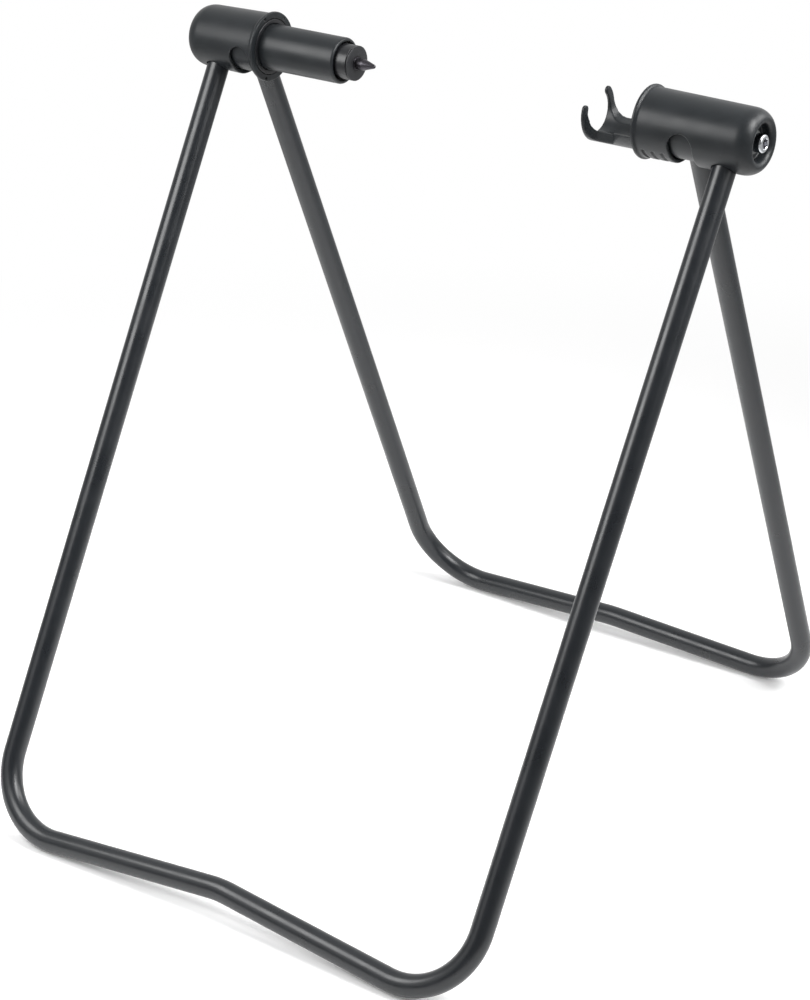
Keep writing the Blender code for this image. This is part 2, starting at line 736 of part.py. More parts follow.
def right_cradle(stand, rear):
    """Right turning piece: journal, bore for the axle nut, open side and pronged end plate."""
    outline = [
        (CRADLE_END_X, CRADLE_BORE_R),
        (NUT_SEAT_X, CRADLE_BORE_R),
        (NUT_SEAT_X, SCREW_HOLE_R),
        (JOURNAL_END_X, SCREW_HOLE_R),
        (JOURNAL_END_X, JOURNAL_R - JOURNAL_EDGE),
        (JOURNAL_END_X - JOURNAL_EDGE, JOURNAL_R),
        (CRADLE_END_X, JOURNAL_R),
    ]
    item = stand.add(turned("right_cradle", 1, outline), NYLON, stand.fold_axis)
    stand.cut(item, leg_hole("right_rear_leg_hole", rear, 1))
    stand.cut(item, cradle_top_cutter("cradle_near_top_cut", -1))
    stand.cut(item, cradle_top_cutter("cradle_far_top_cut", 1))
    stand.cut(item, cradle_side_cutter())
    mouth = ring_slot(
        "cradle_prong_gap",
        CRADLE_END_X + CRADLE_PLATE_T / 2,
        CRADLE_PLATE_T,
        CRADLE_BORE_R - PAST,
        JOURNAL_R + PAST,
        FAR_TIP_ANGLE,
        NEAR_TIP_ANGLE,
        round_ends=False,
    )
    stand.cut(item, mouth)
    ring_half = (JOURNAL_R - CRADLE_BORE_R) / 2
    for name, angle in (("near", NEAR_TIP_ANGLE), ("far", FAR_TIP_ANGLE)):
        centre = polar(CRADLE_END_X, CRADLE_BORE_R + ring_half, angle)
        end = centre + Vector((CRADLE_PLATE_T, 0, 0))
        stand.cut(item, cylinder(f"cradle_{name}_prong_tip", ring_half, centre, end), "UNION")


def plunger(stand):
    """The sprung pin: sleeve, cap, pin and the clip that holds them together."""
    flange_x = LIP_END_X + GAP
    sleeve_end = SLEEVE_X + SLEEVE_LENGTH
    sleeve = [
        (SLEEVE_X, PIN_HOLE_R),
        (SLEEVE_FLOOR_X, PIN_HOLE_R),
        (SLEEVE_FLOOR_X, SLEEVE_POCKET_R),
        (sleeve_end, SLEEVE_POCKET_R),
        (sleeve_end, SLEEVE_R),
        (flange_x + SLEEVE_FLANGE_T, SLEEVE_R),
        (flange_x + SLEEVE_FLANGE_T, SPINDLE_BORE_R - GAP),
        (flange_x, SPINDLE_BORE_R - GAP),
        (flange_x, SLEEVE_R),
        (SLEEVE_X + SLEEVE_EDGE, SLEEVE_R),
        (SLEEVE_X, SLEEVE_R - SLEEVE_EDGE),
    ]
    stand.add(turned("plunger_sleeve", -1, sleeve), BLACK_ACETAL, stand.plunger_axis)
    collar_x = CAP_X - PIN_COLLAR_PROUD
    seat_x = collar_x + PIN_COLLAR_T + GAP
    cap = [
        (CAP_X, PIN_COLLAR_R + GAP),
        (seat_x, PIN_COLLAR_R + GAP),
        (seat_x, PIN_HOLE_R),
        (CAP_X + CAP_T, PIN_HOLE_R),
        (CAP_X + CAP_T, CAP_R - CAP_EDGE),
        (CAP_X + CAP_T - CAP_EDGE, CAP_R),
        (CAP_X + CAP_EDGE, CAP_R),
        (CAP_X, CAP_R - CAP_EDGE),
    ]
    stand.add(turned("plunger_cap", -1, cap), BLACK_ACETAL, stand.plunger_axis)

    cone_x = CAP_X - PIN_STRAIGHT
    tip_x = cone_x - PIN_CONE
    tail_x = SLEEVE_FLOOR_X + PIN_TAIL
    groove_r = PIN_SHANK_R - CLIP_GROOVE_DEPTH
    groove_start = CLIP_X - GAP / 2
    groove_end = CLIP_X + CLIP_T + GAP / 2
    pin = [
        (tail_x, 0.0),
        (tail_x, PIN_SHANK_R - PIN_EDGE),
        (tail_x - PIN_EDGE, PIN_SHANK_R),
        (groove_end, PIN_SHANK_R),
        (groove_end, groove_r),
        (groove_start, groove_r),
        (groove_start, PIN_SHANK_R),
        (collar_x + PIN_COLLAR_T, PIN_SHANK_R),
        (collar_x + PIN_COLLAR_T, PIN_COLLAR_R),
        (collar_x + PIN_COLLAR_EDGE, PIN_COLLAR_R),
        (collar_x, PIN_COLLAR_R - PIN_COLLAR_EDGE),
        (collar_x, PIN_R),
        (cone_x, PIN_R),
        (tip_x + PIN_TIP_R / 2, PIN_TIP_R),
        (tip_x, PIN_TIP_R / 2),
        (tip_x, 0.0),
    ]
    stand.add(turned("plunger_pin", -1, pin, solid=True, steps=SMALL_STEPS), DARK_STEEL, stand.plunger_axis)

    inner = groove_r + GAP / 2
    half_gap = math.degrees(CLIP_OPENING) / 2
    outline = arc((0, 0), (CLIP_R, CLIP_R), half_gap, 360 - half_gap, SMALL_STEPS)
    outline += arc((0, 0), (inner, inner), 360 - half_gap, half_gap, SMALL_STEPS)
    middle = AXIS + Vector((-(CLIP_X + CLIP_T / 2), 0, 0))
    matrix = Matrix.Translation(middle) @ Matrix.Rotation(math.radians(-90), 4, "Y")
    stand.add(plate("plunger_clip", outline, CLIP_T, matrix), ZINC, stand.plunger_axis)


def spring_point(turn, start, length):
    """Centre of the spring's wire after some turns; its end turns lie closer together."""
    end_length = SPRING_END_TURNS * SPRING_END_PITCH
    middle_turns = SPRING_TURNS - 2 * SPRING_END_TURNS
    middle_pitch = (length - 2 * end_length) / middle_turns
    if turn < SPRING_END_TURNS:
        along = turn * SPRING_END_PITCH
    elif turn < SPRING_END_TURNS + middle_turns:
        along = end_length + (turn - SPRING_END_TURNS) * middle_pitch
    else:
        along = length - (SPRING_TURNS - turn) * SPRING_END_PITCH
    return polar(-(start + along), SPRING_COIL_R, math.tau * turn)


def least_gap(points, radius, neighbours):
    """Least gap of a wire to itself, between points more than some neighbours apart."""
    closest = min(
        (first - second).length
        for i, first in enumerate(points)
        for second in points[i + neighbours :]
    )
    return closest - 2 * radius


def plunger_spring(stand):
    """The coil spring between the sleeve's pocket and the seat over the lock nut."""
    start = SLEEVE_FLOOR_X + GAP + SPRING_WIRE_R
    length = SEAT_FACE_X - GAP - SPRING_WIRE_R - start
    count = SPRING_TURNS * SPRING_POINTS
    points = [spring_point(SPRING_TURNS * i / count, start, length) for i in range(count + 1)]
    gap = least_gap(points, SPRING_WIRE_R, SPRING_POINTS // 2)
    print(f"plunger_spring least gap to itself {gap * 1000:.2f} mm")
    stand.add(wire("plunger_spring", points, SPRING_WIRE_R, 1), SPRING_STEEL, stand.fold_axis)

    pocket_r = max(NUT_ACROSS_FLATS / math.sqrt(3), NUT_WASHER_R) + GAP
    pocket_floor = SEAT_FACE_X + SEAT_FACE_T
    seat = [
        (pocket_floor, 0.0),
        (pocket_floor, pocket_r),
        (NUT_SEAT_X - GAP, pocket_r),
        (NUT_SEAT_X - GAP, SPINDLE_BORE_R - GAP),
        (SEAT_FACE_X, SPINDLE_BORE_R - GAP),
        (SEAT_FACE_X, 0.0),
    ]
    item = turned("spring_seat_cup", -1, seat, solid=True)
    stand.add(item, WHITE_ACETAL, stand.fold_axis)


def build():
    """Model the whole stand."""
    clear_scene()
    stand = Stand()
    front = Frame(FRONT_TILT, -1, FRONT_REACH, FRONT_HALF_TOP, FRONT_TOE_IN, FRONT_KINK)
    rear = Frame(REAR_TILT, 1, REAR_REACH, REAR_HALF_TOP, REAR_TOE_IN, REAR_KINK)
    frame_tube(stand, "front_frame", front)
    frame_tube(stand, "rear_frame", rear, stand.fold_axis)
    housing(stand, "left", -1, LEFT_MOUTH_X, front)
    grip_grooves(stand, housing(stand, "right", 1, RIGHT_MOUTH_X, front))
    pivot_fasteners(stand, "left", -1)
    pivot_fasteners(stand, "right", 1)
    left_spindle(stand, rear)
    right_cradle(stand, rear)
    plunger(stand)
    plunger_spring(stand)


build()
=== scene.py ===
"""Looks of a folding wheel stand for a bicycle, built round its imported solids.

Metres, +Z up, the head axis along X and the floor at Z = 0. Distances called outward, and
the starts, ends, seats and faces of what is in the heads, are measured from the middle of
the stand along its head axis. A hand is the left head, which carries the sprung pin, or the
right head, which carries the cradle.
"""
import logging
import math
from collections.abc import Iterator
from dataclasses import dataclass, field
from enum import Enum
from itertools import chain

import bmesh
import bpy
from mathutils import Matrix, Vector


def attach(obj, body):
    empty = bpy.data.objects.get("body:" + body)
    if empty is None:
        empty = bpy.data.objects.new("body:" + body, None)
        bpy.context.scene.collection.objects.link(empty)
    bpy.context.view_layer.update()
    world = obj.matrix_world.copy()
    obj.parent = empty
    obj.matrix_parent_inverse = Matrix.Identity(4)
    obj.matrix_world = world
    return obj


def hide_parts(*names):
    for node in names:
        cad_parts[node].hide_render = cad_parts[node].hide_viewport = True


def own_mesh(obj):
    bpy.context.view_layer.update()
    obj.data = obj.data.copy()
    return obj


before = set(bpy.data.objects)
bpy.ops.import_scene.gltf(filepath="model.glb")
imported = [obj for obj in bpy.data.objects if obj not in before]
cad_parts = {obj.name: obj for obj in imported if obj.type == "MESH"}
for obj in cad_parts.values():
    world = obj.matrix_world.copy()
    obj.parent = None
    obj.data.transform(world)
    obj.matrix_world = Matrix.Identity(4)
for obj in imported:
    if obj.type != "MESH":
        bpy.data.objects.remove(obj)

log = logging.getLogger("wheel_stand")

Piece = bpy.types.Object
Shape = bmesh.types.BMesh
Tree = bpy.types.NodeTree
Socket = bpy.types.NodeSocket
Outline = list[tuple[float, float, float]]  # outward distance, radius and corner rounding
Corners = list[tuple[Vector, float]]  # points, each with the rounding of its corner
Edges = list[bmesh.types.BMEdge]

MM = 0.001
LEFT, RIGHT = -1, 1
NEAR, FAR = -1, 1  # towards -Y, where the camera stands, and away from it
HEAD_AXIS = Vector((0.0, 0.0291035, 0.406))
OUTWARD = Vector((1.0, 0.0, 0.0))
DOWN = math.radians(270)
SHARP = 40.0  # degrees above which an edge stays sharp
WELD = 0.002 * MM  # points nearer than this become one
PAST = 1.0 * MM  # how far a tool runs past what it cuts
GAP = 0.3 * MM  # between a piece and the seat or hole that it stands in
SMALL_GAP = 0.05 * MM  # round what closes the bottom of a hole
HEXAGON = 6
SCREW_HOLE_RADIUS = 3.4 * MM
LEG_HOLE_RADIUS = 6.65 * MM


class Body(Enum):
    """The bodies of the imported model."""

    FRONT = "front_frame"
    REAR = "rear_frame"
    PLUNGER = "plunger"


class Slot(Enum):
    """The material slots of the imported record."""

    POWDER_COAT = "powder_coated_steel"
    NYLON = "moulded_nylon"
    BLACK_ACETAL = "black_acetal"
    WHITE_ACETAL = "white_acetal"
    DARK_STEEL = "blackened_steel"
    CHROME = "chrome_steel"
    ZINC = "zinc_plated_steel"
    SPRING_STEEL = "spring_steel"


class Cut(Enum):
    """What a tool does to a piece."""

    REMOVE = "DIFFERENCE"
    JOIN = "UNION"


# Finishes


def linear_colour(code: str) -> tuple[float, float, float, float]:
    """Turn an sRGB hex colour to the linear values that a shader takes."""
    channels = [int(code[i : i + 2], 16) / 255 for i in (1, 3, 5)]
    return *(c / 12.92 if c <= 0.04045 else ((c + 0.055) / 1.055) ** 2.4 for c in channels), 1.0


def add_node(
    tree: Tree, kind: str, settings: dict | None = None, links: dict | None = None
) -> bpy.types.Node:
    """Add one shader node.

    Args:
        tree: The node tree that takes it.
        kind: Blender's name of the node's type, without its first word.
        settings: Values of its inputs or properties, by name or number.
        links: Output sockets that feed its inputs, by name or number.

    Returns:
        The new node.
    """
    node = tree.nodes.new("ShaderNode" + kind)
    for name, value in (settings or {}).items():
        if isinstance(name, int) or name in node.inputs:
            node.inputs[name].default_value = value
        else:
            setattr(node, name, value)
    for name, source in (links or {}).items():
        tree.links.new(source, node.inputs[name])
    return node


def limits(start: float, end: float, low: float = 0.0, high: float = 1.0) -> dict[str, float]:
    """Settings of a node that maps the range from start to end to that from low to high."""
    return {"From Min": start, "From Max": end, "To Min": low, "To Max": high}


@dataclass(frozen=True)
class Finish:
    """A surface: its material, how it was made, and the relief that this leaves.

    The colour drifts a little between two values, and the gloss with it, over patches of
    a real size. The relief is a bump of a real depth.
    """

    name: str
    slot: Slot
    colour: str
    # second colour of the patches; on the nylon also its painted edge highlight
    second_colour: str
    roughness: float
    metallic: float = 0.0
    ior: float = 1.5
    patch: float = 14 * MM
    patch_detail: float = 3.0
    patch_range: tuple[float, float] = (0.3, 0.7)
    gloss_drift: float = 0.05
    relief_depth: float = 0.006 * MM

    def material(self) -> bpy.types.Material:
        """Make the finish's material, once.

        Returns:
            The material.
        """
        found = bpy.data.materials.get(self.name)
        if found:
            return found
        made = bpy.data.materials.new(self.name)
        made.use_nodes = True
        tree = made.node_tree
        shader = tree.nodes["Principled BSDF"]
        shader.inputs["Metallic"].default_value = self.metallic
        if self.metallic < 1.0:
            shader.inputs["IOR"].default_value = self.ior
        place = add_node(tree, "TexCoord").outputs["Object"]
        centred = add_node(
            tree, "Mapping", {"vector_type": "TEXTURE", "Location": HEAD_AXIS}, {"Vector": place}
        ).outputs["Vector"]
        patches = self.cloud(tree, centred, self.patch, self.patch_detail)
        # the second colour shows in patches, and on the nylon also as a painted highlight along
        # edges
        second_colour_share = self.second_colour_share(tree, centred, patches)
        colours = {6: linear_colour(self.colour), 7: linear_colour(self.second_colour)}
        colour = add_node(tree, "Mix", {"data_type": "RGBA"} | colours, {0: second_colour_share})
        tree.links.new(colour.outputs[2], shader.inputs["Base Color"])
        drift = self.roughness - self.gloss_drift, self.roughness + self.gloss_drift
        gloss = add_node(tree, "MapRange", limits(*self.patch_range, *drift), {"Value": patches})
        tree.links.new(gloss.outputs["Result"], shader.inputs["Roughness"])
        height = self.relief(tree, centred)
        bump = add_node(tree, "Bump", {"Distance": self.relief_depth}, {"Height": height})
        tree.links.new(bump.outputs["Normal"], shader.inputs["Normal"])
        made.diffuse_color = linear_colour(self.colour)
        return made

    def cloud(self, tree: Tree, place: Socket, size: float, detail: float) -> Socket:
        """A noise whose lumps have a real size in metres, with octaves of finer detail."""
        noise = add_node(tree, "TexNoise", {"Scale": 1 / size, "Detail": detail}, {"Vector": place})
        return noise.outputs[0]

    def second_colour_share(self, tree: Tree, place: Socket, patches: Socket) -> Socket:
        """Where the second colour shows; here it follows the patches."""
        return patches

    def relief(self, tree: Tree, place: Socket) -> Socket:
        """Height of the surface's texture, from 0 to 1."""
        raise NotImplementedError

    def put_on(self, item: Piece) -> None:
        """Dress a new piece in the finish's material."""
        item.data.materials.append(self.material())

    def put_on_node(self, name: str) -> None:
        """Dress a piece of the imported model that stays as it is.

        Args:
            name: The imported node.
        """
        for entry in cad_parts[name].material_slots:
            entry.material = self.material()
        log.info("%s: dressed in %s as packed", name, self.name)


@dataclass(frozen=True)
class PowderCoat(Finish):
    """Sprayed and baked polyester: satin black that flows into a faint orange peel."""

    peel: float = 1.6 * MM

    def relief(self, tree: Tree, place: Socket) -> Socket:
        """Orange peel, drawn about as wide as it is on a coat of 0.08 mm."""
        return self.cloud(tree, place, self.peel, 1.0)


@dataclass(frozen=True)
class SparkErodedNylon(Finish):
    """Moulded in a spark-eroded tool: matte, with a fine grain and a painted highlight along its
    edges.
    """

    grain: float = 0.7 * MM
    # pointiness over which the painted edge highlight fades in
    edge_highlight_range: tuple[float, float] = (0.55, 0.68)
    patch_share: float = 0.45

    def second_colour_share(self, tree: Tree, place: Socket, patches: Socket) -> Socket:
        """Show the second colour also along raised edges, as a painted highlight.

        Args:
            tree: The material's nodes.
            place: Metres from the head axis; not used.
            patches: The patches, from 0 to 1.

        Returns:
            The share of the second colour.
        """
        # painted highlight: sharper edges, found by pointiness, take the paler second colour
        edge = add_node(
            tree, "MapRange", limits(*self.edge_highlight_range),
            {"Value": add_node(tree, "NewGeometry").outputs["Pointiness"]},
        )
        return add_node(
            tree, "Math", {"operation": "MULTIPLY_ADD", 1: self.patch_share, "use_clamp": True},
            {0: patches, 2: edge.outputs["Result"]},
        ).outputs[0]

    def relief(self, tree: Tree, place: Socket) -> Socket:
        """Spark grain; a real one of 0.3 mm is drawn coarser so that it shows."""
        return self.cloud(tree, place, self.grain, 2.0)


@dataclass(frozen=True)
class Turned(Finish):
    """Cut on a lathe: rings from the tool about the head axis."""

    ior: float = 1.48
    relief_depth: float = 0.002 * MM
    feed: float = 0.5 * MM
    wave_rate: float = 20.0  # radians that a wave of scale one turns in a metre
    waver: float = 0.4

    def relief(self, tree: Tree, place: Socket) -> Socket:
        """Tool rings along the axis and across the faces.

        A real feed of 0.1 mm is drawn coarser so that it shows.

        Args:
            tree: The material's nodes.
            place: Metres from the head axis.

        Returns:
            The height, from 0 to 1.
        """
        scale = 1 / (self.feed * self.wave_rate) * math.tau
        along, across = (
            add_node(
                tree, "TexWave",
                {"wave_type": kind, way: "X", "Scale": scale, "Distortion": self.waver},
                {"Vector": place},
            ).outputs["Fac"]
            for kind, way in (("BANDS", "bands_direction"), ("RINGS", "rings_direction"))
        )
        both = add_node(tree, "Mix", {"data_type": "FLOAT", 0: 0.5}, {2: along, 3: across})
        return both.outputs[0]


@dataclass(frozen=True)
class Plated(Finish):
    """Electroplated steel: bright metal with hairline handling scratches."""

    metallic: float = 1.0
    scratch: float = 0.25 * MM
    stretch: float = 0.15

    def relief(self, tree: Tree, place: Socket) -> Socket:
        """Hairlines, drawn coarser than real ones so that they show."""
        stretched = add_node(tree, "Mapping", {"Scale": (self.stretch, 1, 1)}, {"Vector": place})
        return self.cloud(tree, stretched.outputs["Vector"], self.scratch, 2.0)


# sprayed on the bent steel tube: deep black with a soft sheen, and long highlights that waver
TUBE_COAT = PowderCoat(
    "satin_black_powder_coat", Slot.POWDER_COAT, "#0f1317", "#14181d", 0.31, ior=1.53
)
# housings, spindle and cradle: charcoal, with wide dull highlights, and a painted highlight along
# the edges
HEAD_NYLON = SparkErodedNylon(
    "charcoal_glass_filled_nylon", Slot.NYLON, "#171a1c", "#25292d", 0.38, ior=1.40,
    relief_depth=0.012 * MM,
)
# turned sleeve and mouth ring: a smoother, deeper black than the nylon
SLEEVE_ACETAL = Turned("turned_black_acetal", Slot.BLACK_ACETAL, "#151618", "#1c1d20", 0.36)
# faced cap: the same plastic with deeper rings, and duller
CAP_ACETAL = Turned(
    "faced_black_acetal", Slot.BLACK_ACETAL, "#191a1c", "#222326", 0.50, relief_depth=0.004 * MM
)
# undyed acetal of seat cup and friction washers: warm off-white, and waxy
CUP_ACETAL = Turned("natural_white_acetal", Slot.WHITE_ACETAL, "#dcdad2", "#cfccc2", 0.42)
# blackened pin: dark grey metal with a faint violet cast; also the painted shade at the bottoms of
# the sockets
PIN_STEEL = Turned(
    "blackened_turned_steel", Slot.DARK_STEEL, "#444246", "#4e4c51", 0.38, metallic=1.0
)
# chrome on the screws: near mirror, bright and a little cool
SCREW_CHROME = Plated(
    "bright_chrome_plate", Slot.CHROME, "#cfd1d4", "#bfc2c6", 0.07, gloss_drift=0.03,
    relief_depth=0.0006 * MM,
)
# zinc on nuts, washers and clip: grey, cloudy metal
NUT_ZINC = Plated(
    "clear_zinc_plate", Slot.ZINC, "#9a9da0", "#8b8c88", 0.40, relief_depth=0.0015 * MM
)
# drawn wire of the spring: grey metal with long highlights along each turn
WIRE_STEEL = Plated(
    "drawn_spring_wire", Slot.SPRING_STEEL, "#9a9b9e", "#85868a", 0.28, relief_depth=0.001 * MM
)


# Making and cutting pieces


def polar(outward: float, radius: float, angle: float) -> Vector:
    """A point about the head axis; the angle starts at +Y and turns to +Z."""
    return HEAD_AXIS + Vector((outward, radius * math.cos(angle), radius * math.sin(angle)))


def arc(
    centre: tuple[float, float], size: tuple[float, float], start: float, end: float, steps: int
) -> Outline:
    """Points of an elliptical arc in a half section.

    Args:
        centre: Outward distance and radius of its centre.
        size: Its two half axes.
        start: First angle in degrees.
        end: Last angle in degrees.
        steps: Number of chords.

    Returns:
        Points of outward distance, radius and no rounding.
    """
    (out, up), (wide, high) = centre, size
    angles = [math.radians(start + (end - start) * i / steps) for i in range(steps + 1)]
    return [(out + wide * math.cos(a), up + high * math.sin(a), 0.0) for a in angles]


def add_object(name: str, data: bpy.types.ID) -> Piece:
    """Add an object to the scene, at the origin.

    Args:
        name: The object's name.
        data: Its mesh, lamp or camera.

    Returns:
        The new object.
    """
    item = bpy.data.objects.new(name, data)
    bpy.context.scene.collection.objects.link(item)
    return item


def to_object(name: str, shape: Shape) -> Piece:
    """Turn a bmesh to an object that is smooth but for its sharp edges.

    Args:
        name: The object's name.
        shape: The bmesh, which is freed.

    Returns:
        The new object.
    """
    bmesh.ops.recalc_face_normals(shape, faces=shape.faces)
    mesh = bpy.data.meshes.new(name)
    shape.to_mesh(mesh)
    shape.free()
    mesh.shade_smooth()
    mesh.set_sharp_from_angle(angle=math.radians(SHARP))
    return add_object(name, mesh)


def rounded_face(shape: Shape, outline: Corners, segments: int) -> None:
    """Make one face and round its corners.

    Args:
        shape: The bmesh that takes the face.
        outline: Corners once round.
        segments: Chords of a rounded corner.
    """
    corners = [shape.verts.new(point) for point, _ in outline]
    shape.faces.new(corners)
    for corner, (_, rounding) in zip(corners, outline):
        if rounding > 0:
            bmesh.ops.bevel(
                shape, geom=[corner], offset=rounding, segments=segments, profile=0.5,
                affect="VERTICES", material=-1,
            )
    lone = [vert for vert in shape.verts if not vert.link_edges]
    bmesh.ops.delete(shape, geom=lone, context="VERTS")


def turned(name: str, hand: int, outline: Outline, steps: int = 96, segments: int = 4) -> Piece:
    """Turn a half section about the head axis.

    Args:
        name: The object's name.
        hand: The head, left or right.
        outline: Corners once round the half section.
        steps: Steps of the full turn.
        segments: Chords of a rounded corner.

    Returns:
        The new object.
    """
    shape = bmesh.new()
    points = [(HEAD_AXIS + Vector((hand * x, 0, radius)), edge) for x, radius, edge in outline]
    rounded_face(shape, points, segments)
    bmesh.ops.delete(shape, geom=shape.faces[:], context="FACES_ONLY")
    on_axis = [e for e in shape.edges if all(v.co.z - HEAD_AXIS.z < WELD for v in e.verts)]
    bmesh.ops.delete(shape, geom=on_axis, context="EDGES")
    bmesh.ops.spin(
        shape, geom=shape.verts[:] + shape.edges[:], cent=HEAD_AXIS, axis=OUTWARD, angle=math.tau,
        steps=steps, use_merge=True,
    )
    bmesh.ops.remove_doubles(shape, verts=shape.verts, dist=WELD)
    return to_object(name, shape)


def prism(name: str, outline: Corners, depth: Vector, segments: int = 8) -> Piece:
    """Extrude a rounded outline.

    Args:
        name: The object's name.
        outline: Corners once round.
        depth: How far, and which way, it is extruded.
        segments: Chords of a rounded corner.

    Returns:
        The new object.
    """
    shape = bmesh.new()
    rounded_face(shape, outline, segments)
    made = bmesh.ops.extrude_face_region(shape, geom=shape.faces[:])
    moved = [v for v in made["geom"] if isinstance(v, bmesh.types.BMVert)]
    bmesh.ops.translate(shape, verts=moved, vec=depth)
    return to_object(name, shape)


def rod(name: str, start: Vector, end: Vector, radius: float, sides: int = 64) -> Piece:
    """A straight round or hexagonal bar between two points.

    Args:
        name: The object's name.
        start: Middle of its first end.
        end: Middle of its last end.
        radius: Radius to its corners.
        sides: Number of its sides.

    Returns:
        The new object.
    """
    span = end - start
    shape = bmesh.new()
    bmesh.ops.create_cone(
        shape, cap_ends=True, segments=sides, radius1=radius, radius2=radius, depth=span.length,
        matrix=Matrix.LocRotScale((start + end) / 2, span.to_track_quat("Z", "Y"), None),
    )
    return to_object(name, shape)


def ring_sector(
    name: str, outward: float, width: float, inner: float, outer: float, start: float, end: float
) -> Piece:
    """Part of a ring of rectangular section about the head axis.

    Args:
        name: The object's name.
        outward: Middle of its width, along X.
        width: Its width along the axis.
        inner: Inner radius.
        outer: Outer radius.
        start: First angle, from +Y towards +Z.
        end: Last angle.

    Returns:
        The new object.
    """
    shape = bmesh.new()
    corners = [
        shape.verts.new(polar(outward + side * width / 2, radius, start))
        for side, radius in ((-1, inner), (1, inner), (1, outer), (-1, outer))
    ]
    face = shape.faces.new(corners)
    degrees, fewest = 4, 4
    steps = max(fewest, math.ceil(math.degrees(end - start) / degrees))
    bmesh.ops.spin(
        shape, geom=[face, *face.edges, *face.verts], cent=HEAD_AXIS, axis=OUTWARD,
        angle=end - start, steps=steps,
    )
    return to_object(name, shape)


def cut(item: Piece, tool: Piece, what: Cut = Cut.REMOVE) -> None:
    """Cut a piece with a tool, and drop the tool.

    Args:
        item: The piece, whose mesh changes.
        tool: A closed piece.
        what: Whether the tool's space is removed or joined.
    """
    made = item.modifiers.new(tool.name, "BOOLEAN")
    made.object = tool
    made.operation = what.value
    made.solver = "EXACT"
    settle(item)
    bpy.data.objects.remove(tool, do_unlink=True)


def settle(item: Piece, sharp: float = SHARP) -> None:
    """Give a piece the mesh that its modifiers make, and drop them.

    Args:
        item: The piece.
        sharp: Degrees above which an edge stays sharp.
    """
    bpy.context.view_layer.update()
    graph = bpy.context.evaluated_depsgraph_get()
    mesh = bpy.data.meshes.new_from_object(item.evaluated_get(graph))
    item.modifiers.clear()
    item.data = mesh
    mesh.name = item.name
    mesh.shade_smooth()
    mesh.set_sharp_from_angle(angle=math.radians(sharp))


def soften(item: Piece, voxel: float, passes: int = 2) -> None:
    """Round every edge of a moulded piece a little, as its tool does.

    Args:
        item: The piece, whose mesh changes.
        voxel: Size of the new mesh's faces, about the radius of the edges.
        passes: Rounds of smoothing.
    """
    even = item.modifiers.new("even_faces", "REMESH")
    even.mode = "VOXEL"
    even.voxel_size = voxel
    ease = item.modifiers.new("eased_edges", "SMOOTH")
    ease.factor = 0.5
    ease.iterations = passes
    settle(item, sharp=180.0)


def place(item: Piece, body: Body, finish: Finish, *nodes: str) -> None:
    """Hand a finished piece to the frame.

    Args:
        item: The piece.
        body: The body that carries it.
        finish: Its surface.
        nodes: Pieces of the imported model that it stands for.
    """
    finish.put_on(item)
    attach(item, body.value)
    if nodes:
        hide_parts(*nodes)
    faces = sum(len(face.vertices) - 2 for face in item.data.polygons)
    log.info("%s: %d triangles in %s, rides on %s", item.name, faces, finish.name, body.value)


# Sub-assemblies


